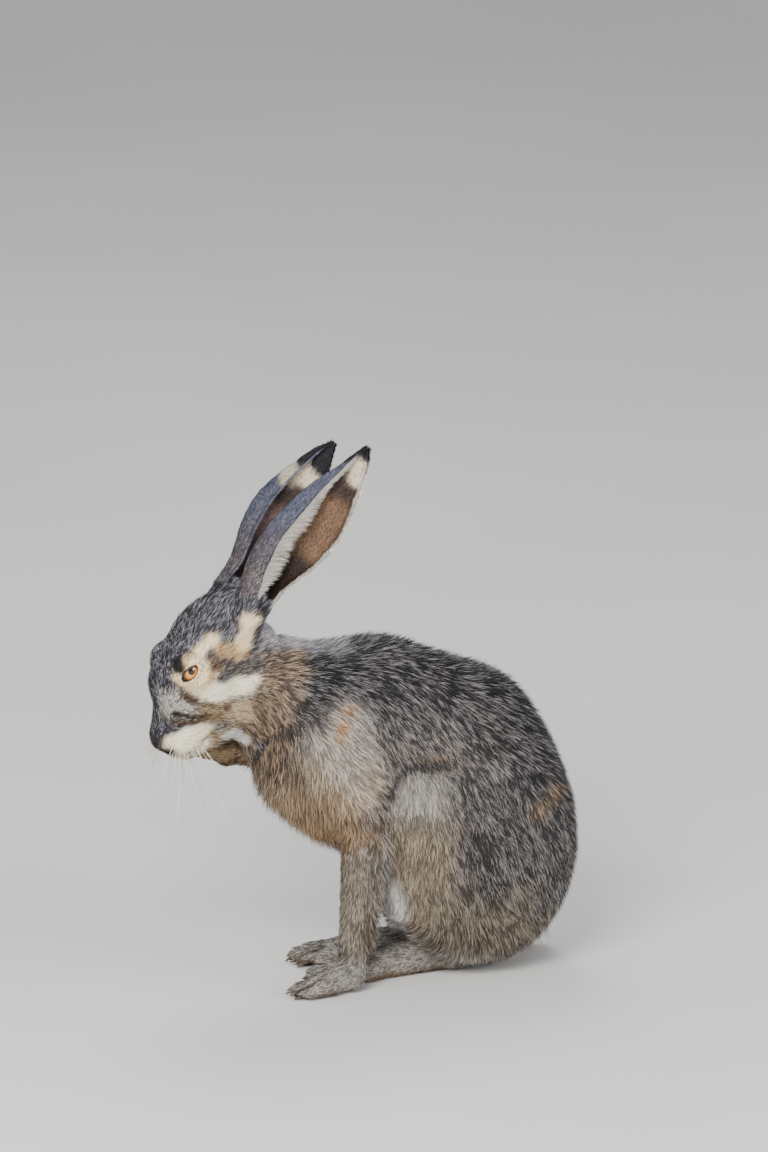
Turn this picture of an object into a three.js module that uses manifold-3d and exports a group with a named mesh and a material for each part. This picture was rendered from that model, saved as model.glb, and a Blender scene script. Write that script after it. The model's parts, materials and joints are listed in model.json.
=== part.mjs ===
import * as THREE from 'three';
import { mergeVertices } from 'three/addons/utils/BufferGeometryUtils.js';
import Module from 'manifold-3d';

// A brown hare in life size, sitting up on its haunches with its head bowed and its right
// forepaw raised to the mouth. Millimetres, +Z up. It faces -X, its left side is toward -Y.
// Every size runs out to the tips of the coat. Sizes are given for the left of a pair with
// positive Y, and `side` puts them on the left (-1) or the right (1).

// The gap between two bodies, and what a neighbour grows by before it is cut out of a body: the
// facets of its grown copy take a little off the gap
const GAP = 0.3;
const CLEAR = 0.75;
const LEFT = -1;
const RIGHT = 1;
// In the head's own frame y runs to the left
const HEAD_LEFT = 1;
const HEAD_RIGHT = -1;

// Trunk: each lump is a centre, its half sizes along X, Y and Z, and a lean in degrees
const SHOULDERS = { at: [-24, 0, 176], half: [82, 50, 82] };
const BREAST = { at: [-71, 0, 182], half: [43, 39, 47], lean: 24 };
const LOIN = { at: [45, 0, 134], half: [75, 57, 98] };
const RUMP = { at: [60, 0, 90], half: [74, 63, 92] };
const BELLY = { at: [10, 0, 98], half: [50, 44, 50] };
const TRUNK_SOFT = 26;
const NECK = { from: [-62, 0, 203], fromRadius: 43, to: [-114, 0, 240], toRadius: 31 };
const NECK_RUFF = { at: [-100, 0, 200], half: [26, 24, 22] };

// Hind legs
const HAUNCH = { at: [46, 42, 96], half: [72, 32, 84], lean: 10 };
const KNEE = { at: [4, 47, 134], half: [32, 24, 40] };
const SHANK = { from: [8, 47, 112], fromRadius: 27, to: [34, 26, 38], toRadius: 21 };
const HAUNCH_SOFT = 30;
const KNEE_SOFT = 8;

// Hind feet: heel, instep, and toes as offsets from the middle line of the instep
const HEEL = [46, 15, 14];
const INSTEP = [-24, 25, 9];
const HEEL_RADIUS = 14;
const INSTEP_RADIUS = 14;
const HOCK = { from: [38, 20, 20], to: [34, 26, 46], fromRadius: 16, toRadius: 17 };
const HIND_TOE_ROOT = [-30, 8];
const HIND_TOES = [
  { root: -11, tip: [-56, -16], radius: 6.6 },
  { root: -4, tip: [-68, -6.5], radius: 7.2 },
  { root: 4, tip: [-69, 4], radius: 7.2 },
  { root: 11, tip: [-58, 14], radius: 6.6 },
];
const LEFT_FOOT_FORWARD = 5;

// Forelegs: the left one stands, the right one is raised
const LEFT_UPPER_ARM = { from: [-80, -30, 198], fromRadius: 28, to: [-43, -46, 136], toRadius: 23 };
const LEFT_FOREARM = { from: [-43, -47, 132], fromRadius: 18, to: [-56, -57, 24], toRadius: 10.5 };
const LEFT_PAW = { at: [-60, -58, 11], turn: 3, pitch: 0, roll: 0 };
const RIGHT_UPPER_ARM = { from: [-80, 30, 198], fromRadius: 28, to: [-44, 42, 156], toRadius: 24 };
const RIGHT_FOREARM = { from: [-46, 42, 154], fromRadius: 19, to: [-126, 20, 172], toRadius: 11 };
const RIGHT_PAW = { at: [-132, 18, 174], turn: 4, pitch: 6, roll: 180 };
const ARM_SOFT = 12;

// A forepaw: its palm, and toes as offsets from its middle line
const PALM = { from: [4, 0, 1], fromRadius: 11, to: [-20, 0, -2], toRadius: 10 };
const FORE_TOE_ROOT = [-14, -4];
const FORE_TOES = [
  { root: -8, tip: [-33, -11.5], radius: 4.8 },
  { root: -3, tip: [-39, -4.5], radius: 5.3 },
  { root: 3, tip: [-39, 4], radius: 5.3 },
  { root: 8, tip: [-33, 11], radius: 4.8 },
];
const WRIST_SOFT = 8;
const TOE_SOFT = 2;

// Head, in its own frame: x to the nose, y to the left, z to the brow
const HEAD = { at: [-150, 0, 235], nod: 50, yaw: 9, roll: -4 };
const SKULL = { at: [-22, 0, 11], half: [40, 28, 35] };
const BROW = { at: [1.5, 0, 21.3], half: [34.5, 25.5, 22.3] };
const JAW = { at: [-2, 0, -13], half: [35, 25, 26] };
const FACE = { from: [6, 0, 11], fromRadius: 27, to: [48.5, 0, -2.4], toRadius: 16.4 };
const CHIN = { at: [44, 0, -22.5], half: [16, 10, 9] };
const THROAT = { at: [17, 0, -26], half: [27, 19, 20] };
const PAD = { at: [49, 8.5, -9], half: [15, 10, 12] };
const NOSE = { at: [57.5, 0, 2], half: [7, 7, 7.5] };
const HEAD_SOFT = 12;
const MUZZLE_SOFT = 4;
const LID_SOFT = 9;

// Mouth: the slit between the lips, the cleft from the nose to the slit, the nostrils
const MOUTH = { corner: 33, front: 78, cornerHeight: -20.5, frontHeight: -13, dip: 3, width: 1.3 };
const CLEFT = { at: [64, 0, -11], size: [13, 1.4, 14] };
const NOSTRIL = { at: [64, 4.6, 2.5], half: [4.5, 1.3, 3], turn: 32, tilt: 21 };

// Eyes: the ball, the lid round it, and the opening between the lids. The upper lid is fullest
// `lean` of the opening's half length nearer the front corner than the lower lid
const EYE = { at: [6.5, 15, 28.7], radius: 10 };
const LID = 1.5;
const OPENING = { half: 9.2, above: 5.3, below: 4.2, lean: 0.28, reach: 16, forward: 12, up: 10 };

// Ears: a channel rolled from an elliptic section. A station is the place along the ear, the
// half width, how far its middle lies behind the axis, its depth to width, its sweep in degrees.
// The rolled rim lies toward EAR_RIM. The sweep starts `start` degrees past the rear edge
const EAR_STATIONS = [
  [-0.12, 12, 0, 0.95, 300],
  [0, 13.7, 0, 0.92, 292],
  [0.17, 18.6, -3.6, 0.72, 272],
  [0.36, 24.4, -1, 0.48, 254],
  [0.54, 24.2, 2, 0.42, 250],
  [0.69, 19.6, 2.6, 0.42, 246],
  [0.81, 13.6, 3.6, 0.44, 240],
  [0.93, 7.6, 3.4, 0.5, 230],
  [1, 2.6, 2, 0.6, 220],
];
const EAR_RIM = [-0.3, -0.92, 0.26];
const EAR_THICKNESS = 2.8;
const EAR_MOUND = { at: [-134, 12, 268], radius: 18, topRadius: 13, soft: 12 };
const EAR_ROWS = 15;
const EAR_COLUMNS = 11;
const EARS = {
  ear_left: { root: [-124, -24, 292], tip: [-36, -28, 409], wide: 1, start: 8, hand: 1 },
  ear_right: { root: [-127, 20, 291], tip: [-41, 26, 397], wide: 1.04, start: 56, hand: -1 },
};

const TAIL = { from: [107, 14, 56], fromRadius: 16, to: [107, 20, 17], toRadius: 14 };

// Where one body ends and the next begins: a point of the plane and its normal
const HEAD_CUT = { at: [-110, 0, 225], normal: [-0.976, 0, 0.215] };
const NECK_CUT = { at: [-92, 0, 223], normal: [-0.887, 0, 0.461] };
const WRIST = 23;
const HAUNCH_OUTLINE = { at: [50, 92], half: [82, 88], from: 40 };
const ANKLE = 30;

// Pitch of the grid each skin is drawn on, and the triangles it is thinned to
const FINE = {
  torso: { cell: 6, triangles: 3200 },
  haunch: { cell: 6, triangles: 1000 },
  neck: { cell: 5, triangles: 700 },
  head: { cell: 2, triangles: 3700 },
  arm: { cell: 4, triangles: 420 },
  foot: { cell: 2.4, triangles: 1150 },
  paw: { cell: 2, triangles: 700 },
  tail: { cell: 3, triangles: 320 },
};

const wasm = await Module();
wasm.setup();

const radians = THREE.MathUtils.degToRad;
const mirrored = (place, side) => [place[0], place[1] * side, place[2]];

// Fields: a shape is a function of x, y, z that is less than 0 inside it, in about a millimetre

function ball({ at, half, lean = 0 }) {
  const c = Math.cos(radians(lean));
  const s = Math.sin(radians(lean));
  const [a, b, h] = half;
  return (x, y, z) => {
    const dx = x - at[0];
    const dz = z - at[2];
    const px = (dx * c - dz * s) / a;
    const py = (y - at[1]) / b;
    const pz = (dx * s + dz * c) / h;
    const near = Math.hypot(px, py, pz);
    const slope = Math.hypot(px / a, py / b, pz / h);
    return slope < 1e-9 ? -Math.min(a, b, h) : (near * (near - 1)) / slope;
  };
}

function limb({ from, fromRadius, to, toRadius }) {
  const run = to.map((v, i) => v - from[i]);
  const square = run[0] ** 2 + run[1] ** 2 + run[2] ** 2;
  return (x, y, z) => {
    const dx = x - from[0];
    const dy = y - from[1];
    const dz = z - from[2];
    const along = (dx * run[0] + dy * run[1] + dz * run[2]) / square;
    const t = Math.min(1, Math.max(0, along));
    const away = Math.hypot(dx - t * run[0], dy - t * run[1], dz - t * run[2]);
    return away - fromRadius - t * (toRadius - fromRadius);
  };
}

// One shape out of several that flow into each other over about `soft` millimetres.
function flow(soft, ...shapes) {
  return (x, y, z) => {
    let near = shapes[0](x, y, z);
    for (const shape of shapes.slice(1)) {
      const other = shape(x, y, z);
      const mix = Math.max(soft - Math.abs(near - other), 0) / soft;
      near = Math.min(near, other) - mix * mix * soft * 0.25;
    }
    return near;
  };
}

// The shape drawn in a frame of its own.
function placed(frame, shape) {
  const e = frame.clone().invert().elements;
  return (x, y, z) =>
    shape(
      e[0] * x + e[4] * y + e[8] * z + e[12],
      e[1] * x + e[5] * y + e[9] * z + e[13],
      e[2] * x + e[6] * y + e[10] * z + e[14],
    );
}

// Solids

function solid(geometry) {
  const bare = geometry.clone();
  bare.deleteAttribute('normal');
  bare.deleteAttribute('uv');
  const merged = mergeVertices(bare, 1e-4);
  const body = new wasm.Manifold(
    new wasm.Mesh({
      numProp: 3,
      vertProperties: new Float32Array(merged.attributes.position.array),
      triVerts: new Uint32Array(merged.index.array),
    }),
  );
  return body;
}

function meshOf(points, faces) {
  const geometry = new THREE.BufferGeometry();
  geometry.setAttribute('position', new THREE.Float32BufferAttribute(points, 3));
  geometry.setIndex(faces);
  return solid(geometry);
}

// The closed skin of a shape inside a box, `grow` millimetres outside the shape.
function skin(shape, { low, high }, { cell, triangles }, grow = 0) {
  const count = low.map((v, i) => Math.ceil((high[i] - v) / cell) + 1);
  const index = (i, j, k) => i + count[0] * (j + count[1] * k);
  const value = new Float64Array(count[0] * count[1] * count[2]);
  for (let k = 0; k < count[2]; k += 1) {
    for (let j = 0; j < count[1]; j += 1) {
      for (let i = 0; i < count[0]; i += 1) {
        const outer = [i, j, k].some((v, c) => v === 0 || v === count[c] - 1);
        const here = shape(low[0] + i * cell, low[1] + j * cell, low[2] + k * cell) - grow;
        value[index(i, j, k)] = outer ? Math.max(here, cell / 2) : here;
      }
    }
  }
  const points = [];
  const known = new Map();
  const vertex = (i, j, k) => {
    const key = index(i, j, k);
    if (!known.has(key)) {
      const p = crossing([i, j, k], (a) => value[index(...a)]).map((v, c) => low[c] + v * cell);
      const inner = [i, j, k].every((v, c) => v > 0 && v < count[c] - 2);
      if (inner) settle(p, (x, y, z) => shape(x, y, z) - grow, cell);
      known.set(key, points.length / 3);
      points.push(...p);
    }
    return known.get(key);
  };
  const faces = [];
  for (let k = 0; k < count[2] - 1; k += 1) {
    for (let j = 0; j < count[1] - 1; j += 1) {
      for (let i = 0; i < count[0] - 1; i += 1) {
        const inside = value[index(i, j, k)] < 0;
        for (let axis = 0; axis < 3; axis += 1) {
          const next = [i, j, k];
          next[axis] += 1;
          if (inside === value[index(...next)] < 0) continue;
          const u = [0, 1, 2].map((c) => (c === (axis + 1) % 3 ? 1 : 0));
          const v = [0, 1, 2].map((c) => (c === (axis + 2) % 3 ? 1 : 0));
          const ring = [
            vertex(i - u[0] - v[0], j - u[1] - v[1], k - u[2] - v[2]),
            vertex(i - v[0], j - v[1], k - v[2]),
            vertex(i, j, k),
            vertex(i - u[0], j - u[1], k - u[2]),
          ];
          if (!inside) ring.reverse();
          pushQuad(points, faces, ring);
        }
      }
    }
  }
  return meshOf(...thinned(points, faces, triangles));
}

// The middle of the places where a field changes sign on the edges of one cell of the grid.
function crossing(corner, valueAt) {
  const sum = [0, 0, 0];
  let found = 0;
  for (let axis = 0; axis < 3; axis += 1) {
    for (let side = 0; side < 4; side += 1) {
      const a = [...corner];
      a[(axis + 1) % 3] += side % 2;
      a[(axis + 2) % 3] += Math.floor(side / 2);
      const b = [...a];
      b[axis] += 1;
      const from = valueAt(a);
      const to = valueAt(b);
      if (from < 0 === to < 0) continue;
      a[axis] += from / (from - to);
      a.forEach((v, c) => {
        sum[c] += v;
      });
      found += 1;
    }
  }
  return sum.map((v) => v / found);
}

// Moves a point down the slope of a field onto its skin, by less than half a cell.
function settle(p, field, cell) {
  const step = cell * 0.05;
  const start = [...p];
  for (let round = 0; round < 3; round += 1) {
    const here = field(...p);
    const slope = p.map((_, c) => {
      const q = [...p];
      q[c] += step;
      return (field(...q) - here) / step;
    });
    const square = slope[0] ** 2 + slope[1] ** 2 + slope[2] ** 2;
    if (square < 1e-6) return;
    for (let c = 0; c < 3; c += 1) {
      const moved = p[c] - (here * slope[c]) / square;
      p[c] = THREE.MathUtils.clamp(moved, start[c] - cell * 0.4, start[c] + cell * 0.4);
    }
  }
}

// Adds a quad as two triangles, split along its shorter diagonal.
function pushQuad(points, faces, [a, b, c, d]) {
  const reach = (m, n) =>
    Math.hypot(...[0, 1, 2].map((i) => points[3 * m + i] - points[3 * n + i]));
  if (reach(a, c) <= reach(b, d)) faces.push(a, b, c, a, c, d);
  else faces.push(a, b, d, b, c, d);
}

// Merges the edges whose loss bends the skin least, until `target` triangles are left.
function thinned(points, faces, target) {
  const count = points.length / 3;
  const place = Array.from({ length: count }, (_, v) => points.slice(3 * v, 3 * v + 3));
  const triangle = [];
  const around = Array.from({ length: count }, () => new Set());
  for (let f = 0; f < faces.length; f += 3) {
    const corners = faces.slice(f, f + 3);
    corners.forEach((v) => around[v].add(triangle.length));
    triangle.push(corners);
  }
  const facing = (p, q, r) => {
    const u = q.map((v, i) => v - p[i]);
    const w = r.map((v, i) => v - p[i]);
    return [u[1] * w[2] - u[2] * w[1], u[2] * w[0] - u[0] * w[2], u[0] * w[1] - u[1] * w[0]];
  };
  const bend = Array.from({ length: count }, () => new Float64Array(10));
  for (const corners of triangle) {
    const [p, q, r] = corners.map((v) => place[v]);
    const n = facing(p, q, r);
    const size = Math.hypot(...n) || 1;
    const [a, b, c] = n.map((v) => v / size);
    const d = -(a * p[0] + b * p[1] + c * p[2]);
    const terms = [a * a, a * b, a * c, a * d, b * b, b * c, b * d, c * c, c * d, d * d];
    for (const v of corners) terms.forEach((term, i) => (bend[v][i] += term * size));
  }
  const best = (a, b) => {
    const q = bend[a].map((v, i) => v + bend[b][i]);
    const middle = place[a].map((v, i) => (v + place[b][i]) / 2);
    const matrix = new THREE.Matrix3(q[0], q[1], q[2], q[1], q[4], q[5], q[2], q[5], q[7]);
    const size = q[0] + q[4] + q[7];
    let to = middle;
    if (Math.abs(matrix.determinant()) > 1e-4 * size ** 3) {
      const lowest = new THREE.Vector3(-q[3], -q[6], -q[8]).applyMatrix3(matrix.invert()).toArray();
      const edge = Math.hypot(...place[a].map((v, i) => v - place[b][i]));
      if (Math.hypot(...lowest.map((v, i) => v - middle[i])) < edge) to = lowest;
    }
    const [x, y, z] = to;
    const cost =
      x * (q[0] * x + 2 * (q[1] * y + q[2] * z + q[3])) +
      y * (q[4] * y + 2 * (q[5] * z + q[6])) +
      z * (q[7] * z + 2 * q[8]) +
      q[9];
    return { cost, to };
  };
  const stamp = new Uint32Array(count);
  const queue = [];
  const push = (a, b) => {
    const item = { a, b, at: [stamp[a], stamp[b]], ...best(a, b) };
    let i = queue.push(item) - 1;
    while (i > 0) {
      const up = (i - 1) >> 1;
      if (queue[up].cost <= item.cost) break;
      queue[i] = queue[up];
      i = up;
    }
    queue[i] = item;
  };
  const pop = () => {
    const top = queue[0];
    const last = queue.pop();
    let i = 0;
    while (queue.length && 2 * i + 1 < queue.length) {
      let down = 2 * i + 1;
      if (down + 1 < queue.length && queue[down + 1].cost < queue[down].cost) down += 1;
      if (queue[down].cost >= last.cost) break;
      queue[i] = queue[down];
      i = down;
    }
    if (queue.length) queue[i] = last;
    return top;
  };
  const neighbours = (v) => new Set([...around[v]].flatMap((f) => triangle[f]));
  for (const [a, b, c] of triangle) {
    if (a < b) push(a, b);
    if (b < c) push(b, c);
    if (c < a) push(c, a);
  }
  let left = triangle.length;
  while (left > target && queue.length) {
    const { a, b, at, to } = pop();
    if (at[0] !== stamp[a] || at[1] !== stamp[b]) continue;
    const shared = [...around[a]].filter((f) => around[b].has(f));
    const common = [...neighbours(a)].filter((v) => neighbours(b).has(v));
    if (shared.length !== 2 || common.length !== 4) continue;
    const kept = [...around[a], ...around[b]].filter((f) => !shared.includes(f));
    const turned = kept.some((f) => {
      const before = triangle[f].map((v) => place[v]);
      const after = triangle[f].map((v) => (v === a || v === b ? to : place[v]));
      const m = facing(...before);
      const n = facing(...after);
      const same = m[0] * n[0] + m[1] * n[1] + m[2] * n[2];
      return same < 0.3 * Math.hypot(...m) * Math.hypot(...n);
    });
    if (turned) continue;
    place[a] = to;
    bend[a] = bend[a].map((v, i) => v + bend[b][i]);
    for (const f of shared) triangle[f].forEach((v) => around[v].delete(f));
    for (const f of around[b]) {
      triangle[f] = triangle[f].map((v) => (v === b ? a : v));
      around[a].add(f);
    }
    around[b].clear();
    stamp[a] += 1;
    stamp[b] += 1;
    left -= 2;
    neighbours(a).forEach((v) => v !== a && push(a, v));
  }
  const rest = [];
  const number = new Map();
  const out = [];
  triangle.forEach((corners, f) => {
    if (!around[corners[0]].has(f)) return;
    for (const v of corners) {
      if (!number.has(v)) {
        number.set(v, rest.length / 3);
        rest.push(...place[v]);
      }
      out.push(number.get(v));
    }
  });
  return [rest, out];
}

// Everything on the side of a plane that its normal points to.
function beyond(at, normal, offset = 0) {
  const n = new THREE.Vector3(...normal).normalize();
  const block = new THREE.BoxGeometry(900, 900, 900);
  block.translate(0, 0, 450);
  block.applyQuaternion(new THREE.Quaternion().setFromUnitVectors(new THREE.Vector3(0, 0, 1), n));
  block.translate(at[0] + n.x * offset, at[1] + n.y * offset, at[2] + n.z * offset);
  return solid(block);
}

// The side of the body from `from` outward, inside an oval seen from the side.
function flank({ at, half, from }, side, grow = 0) {
  const oval = new THREE.Shape();
  oval.absellipse(at[0], at[1], half[0] + grow, half[1] + grow, 0, 2 * Math.PI);
  const slab = new THREE.ExtrudeGeometry(oval, {
    depth: 100,
    steps: 1,
    curveSegments: 20,
    bevelEnabled: false,
  });
  slab.rotateX(Math.PI / 2);
  slab.translate(0, side < 0 ? -(from - grow) : from - grow + 100, 0);
  return solid(slab);
}

// The shapes

const headFrame = new THREE.Matrix4()
  .makeRotationFromEuler(
    new THREE.Euler(radians(HEAD.roll), radians(HEAD.nod), radians(180 + HEAD.yaw), 'ZYX'),
  )
  .setPosition(...HEAD.at);
const lidBall = (side) =>
  ball({ at: mirrored(EYE.at, side), half: [1, 1, 1].map(() => EYE.radius + LID) });
const headShape = placed(
  headFrame,
  flow(
    LID_SOFT,
    flow(
      MUZZLE_SOFT,
      flow(HEAD_SOFT, ball(SKULL), ball(BROW), ball(JAW), limb(FACE), ball(THROAT), ball(CHIN)),
      ball({ ...PAD, at: mirrored(PAD.at, HEAD_LEFT) }),
      ball({ ...PAD, at: mirrored(PAD.at, HEAD_RIGHT) }),
      ball(NOSE),
    ),
    lidBall(HEAD_LEFT),
    lidBall(HEAD_RIGHT),
  ),
);

// The furred mound that an ear rises from.
function earMound({ root }) {
  return limb({
    from: mirrored(EAR_MOUND.at, Math.sign(root[1])),
    fromRadius: EAR_MOUND.radius,
    to: root,
    toRadius: EAR_MOUND.topRadius,
  });
}
const skullShape = flow(EAR_MOUND.soft, headShape, ...Object.values(EARS).map(earMound));

const trunkShape = flow(
  TRUNK_SOFT,
  ball(SHOULDERS),
  ball(LOIN),
  ball(RUMP),
  ball(BREAST),
  ball(BELLY),
  ball(NECK_RUFF),
  limb(NECK),
);

const sideLimb = (part, side) =>
  limb({ ...part, from: mirrored(part.from, side), to: mirrored(part.to, side) });
const sideBall = (part, side) => ball({ ...part, at: mirrored(part.at, side) });
const hindLeg = (side) => flow(12, sideBall(KNEE, side), sideLimb(SHANK, side));

function hindFoot(side) {
  const forward = side === LEFT ? LEFT_FOOT_FORWARD : 0;
  const at = ([x, y, z]) => [x - forward, y * side, z];
  const toe = ({ root, tip, radius }) =>
    limb({
      from: at([HIND_TOE_ROOT[0], INSTEP[1] + root, HIND_TOE_ROOT[1]]),
      fromRadius: radius + 1.5,
      to: at([tip[0], INSTEP[1] + 2 + tip[1], 6]),
      toRadius: radius,
    });
  const sole = limb({
    from: at(HEEL),
    fromRadius: HEEL_RADIUS,
    to: at(INSTEP),
    toRadius: INSTEP_RADIUS,
  });
  const hock = limb({ ...HOCK, from: at(HOCK.from), to: at(HOCK.to) });
  return flow(10, sole, hock, flow(TOE_SOFT, ...HIND_TOES.map(toe)));
}

function forepaw({ at, turn, pitch, roll }) {
  const frame = new THREE.Matrix4()
    .makeRotationFromEuler(
      new THREE.Euler(radians(roll), radians(pitch), radians(turn), 'ZYX'),
    )
    .setPosition(...at);
  const toe = ({ root, tip, radius }) =>
    limb({
      from: [FORE_TOE_ROOT[0], root, FORE_TOE_ROOT[1]],
      fromRadius: radius + 1,
      to: [tip[0], tip[1], -6],
      toRadius: radius,
    });
  return placed(frame, flow(6, limb(PALM), flow(TOE_SOFT, ...FORE_TOES.map(toe))));
}

const leftArm = flow(WRIST_SOFT, limb(LEFT_FOREARM), forepaw(LEFT_PAW));
const rightArm = flow(WRIST_SOFT, limb(RIGHT_FOREARM), forepaw(RIGHT_PAW));
const haunches = flow(HAUNCH_SOFT, trunkShape, sideBall(HAUNCH, LEFT), sideBall(HAUNCH, RIGHT));
const rearShape = flow(KNEE_SOFT, haunches, hindLeg(LEFT), hindLeg(RIGHT));
const coat = flow(
  ARM_SOFT,
  rearShape,
  limb(LEFT_UPPER_ARM),
  limb(RIGHT_UPPER_ARM),
  skullShape,
);

// The bodies

const floor = beyond([0, 0, 0], [0, 0, -1]);
const headSide = (offset) => beyond(HEAD_CUT.at, HEAD_CUT.normal, offset);
const neckSide = (offset) => beyond(NECK_CUT.at, NECK_CUT.normal, offset);

const footBox = (side) => ({
  low: [-100, side < 0 ? -66 : 0, -14],
  high: [76, side < 0 ? 0 : 66, ANKLE + 8],
});
const foot = (side, grow = 0) => {
  const bare = skin(flow(8, hindLeg(side), hindFoot(side)), footBox(side), FINE.foot, grow);
  return bare.subtract(floor).subtract(beyond([0, 0, ANKLE], [0, 0, 1], grow));
};
const feet = { [LEFT]: foot(LEFT), [RIGHT]: foot(RIGHT) };
const grownFeet = { [LEFT]: foot(LEFT, CLEAR), [RIGHT]: foot(RIGHT, CLEAR) };

const tailShape = limb(TAIL);
const tailBox = { low: [80, -24, -12], high: [146, 36, 76] };
const grownTail = skin(tailShape, tailBox, FINE.tail, CLEAR);

const bodyBox = { low: [-144, -90, -18], high: [152, 90, 282] };
const wholeBody = skin(coat, bodyBox, FINE.torso).subtract(floor);
const torso = wholeBody
  .subtract(neckSide(-GAP / 2))
  .subtract(flank(HAUNCH_OUTLINE, LEFT, GAP / 2))
  .subtract(flank(HAUNCH_OUTLINE, RIGHT, GAP / 2))
  .subtract(grownFeet[LEFT])
  .subtract(grownFeet[RIGHT]);

const haunchBody = (side) => {
  const area = {
    low: [-50, side < 0 ? -92 : 30, -14],
    high: [146, side < 0 ? -30 : 92, 190],
  };
  return skin(coat, area, FINE.haunch)
    .subtract(floor)
    .intersect(flank(HAUNCH_OUTLINE, side, -GAP / 2))
    .subtract(grownFeet[side]);
};

const headBox = { low: [-214, -58, 152], high: [-92, 58, 322] };
const grownHead = skin(coat, headBox, { cell: 3, triangles: 2600 }, CLEAR);

const bodies = {
  torso,
  haunch_left: haunchBody(LEFT),
  haunch_right: haunchBody(RIGHT),
  neck: skin(coat, { low: [-150, -70, 140], high: [-50, 70, 290] }, FINE.neck)
    .subtract(headSide(-GAP / 2))
    .intersect(neckSide(GAP / 2)),
  hind_foot_left: feet[LEFT],
  hind_foot_right: feet[RIGHT],
  tail: skin(tailShape, tailBox, FINE.tail).subtract(floor),
};
bodies.torso = torso.subtract(grownTail);

const rawHead = skin(coat, headBox, FINE.head).intersect(headSide(GAP / 2));

// A ball-shaped tool in the frame of the head.
function pit({ at, half, turn = 0, tilt = 0 }, side, segments = 16) {
  const form = new THREE.SphereGeometry(1, segments, Math.ceil(segments * 0.7));
  form.scale(...half);
  form.rotateY(radians(tilt));
  form.rotateZ(radians(turn * side));
  form.translate(...mirrored(at, side));
  form.applyMatrix4(headFrame);
  return solid(form);
}

// The slit of the mouth, a thin curved plate across the muzzle.
function mouthSlit() {
  const lower = [];
  const upper = [];
  const steps = 8;
  for (let i = 0; i <= steps; i += 1) {
    const t = i / steps;
    const x = THREE.MathUtils.lerp(MOUTH.corner, MOUTH.front, t);
    const dip = Math.sin(Math.PI * t) * MOUTH.dip;
    const z = THREE.MathUtils.lerp(MOUTH.cornerHeight, MOUTH.frontHeight, t) - dip;
    const half = (MOUTH.width / 2) * Math.min(1, 0.25 + t * 4);
    lower.push(new THREE.Vector2(x, z - half));
    upper.unshift(new THREE.Vector2(x, z + half));
  }
  const plate = new THREE.ExtrudeGeometry(new THREE.Shape([...lower, ...upper]), {
    depth: 60,
    steps: 1,
    bevelEnabled: false,
  });
  plate.rotateX(Math.PI / 2);
  plate.translate(0, 30, 0);
  plate.applyMatrix4(headFrame);
  return solid(plate);
}

function cleft() {
  const plate = new THREE.BoxGeometry(...CLEFT.size);
  plate.translate(...CLEFT.at);
  plate.applyMatrix4(headFrame);
  return solid(plate);
}

// The frame of an eye: z out of the socket, x toward the front corner of the lids.
function eyeFrame(side) {
  const place = new THREE.Matrix4().setPosition(...mirrored(EYE.at, side));
  const aim = new THREE.Matrix4().makeRotationFromEuler(
    new THREE.Euler(radians(OPENING.up * side), 0, radians(-OPENING.forward * side), 'ZYX'),
  );
  const out = new THREE.Matrix4().makeRotationX(radians(-90 * side));
  return headFrame.clone().multiply(place).multiply(aim).multiply(out);
}

// The opening between the lids. In the frame of the left eye the brow lies toward -y.
function lidOpening(side) {
  const { half, lean } = OPENING;
  const brow = -side * OPENING.above * 1.3;
  const cheek = side * OPENING.below * 1.3;
  const almond = new THREE.Shape();
  almond.moveTo(-half, 0);
  almond.bezierCurveTo(-half / 2, cheek, half / 2, cheek, half, 0);
  almond.bezierCurveTo(half * (0.5 + lean), brow, half * (lean - 0.5), brow, -half, 0);
  const tool = new THREE.ExtrudeGeometry(almond, {
    depth: OPENING.reach,
    steps: 1,
    curveSegments: 8,
    bevelEnabled: false,
  });
  tool.applyMatrix4(eyeFrame(side));
  return solid(tool);
}

function eyeball(side, grow = 0) {
  const form = new THREE.SphereGeometry(EYE.radius + grow, 16, 11);
  form.rotateX(Math.PI / 2);
  form.applyMatrix4(eyeFrame(side));
  return solid(form);
}

bodies.eye_left = eyeball(HEAD_LEFT);
bodies.eye_right = eyeball(HEAD_RIGHT);
bodies.head = [HEAD_LEFT, HEAD_RIGHT].reduce(
  (body, side) =>
    body
      .subtract(eyeball(side, GAP))
      .subtract(lidOpening(side))
      .subtract(pit(NOSTRIL, side, 10)),
  rawHead.subtract(mouthSlit()).subtract(cleft()),
);

// The forelegs, each cut from its paw at the wrist
const grownBody = skin(coat, bodyBox, { cell: 6, triangles: 3600 }, CLEAR);
const standingBox = { low: [-112, -92, -14], high: [-14, -16, 158] };
const pawBox = { low: [-112, -84, -14], high: [-34, -34, WRIST + 14] };
bodies.foreleg_left = skin(leftArm, standingBox, FINE.arm)
  .subtract(beyond([0, 0, WRIST], [0, 0, -1], -GAP / 2))
  .subtract(grownBody);
bodies.forepaw_left = skin(leftArm, pawBox, FINE.paw)
  .subtract(floor)
  .subtract(beyond([0, 0, WRIST], [0, 0, 1], -GAP / 2))
  .subtract(grownFeet[LEFT]);

const armRun = RIGHT_FOREARM.to.map((v, i) => v - RIGHT_FOREARM.from[i]);
const raisedBox = { low: [-192, -10, 146], high: [-14, 76, 204] };
const raised = (detail) => skin(rightArm, raisedBox, detail);
bodies.foreleg_right = raised(FINE.arm)
  .subtract(beyond(RIGHT_FOREARM.to, armRun, -GAP / 2))
  .subtract(grownBody)
  .subtract(grownHead);
bodies.forepaw_right = raised(FINE.paw)
  .intersect(beyond(RIGHT_FOREARM.to, armRun, GAP / 2))
  .subtract(grownHead)
  .subtract(grownBody);

// Ears

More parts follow.
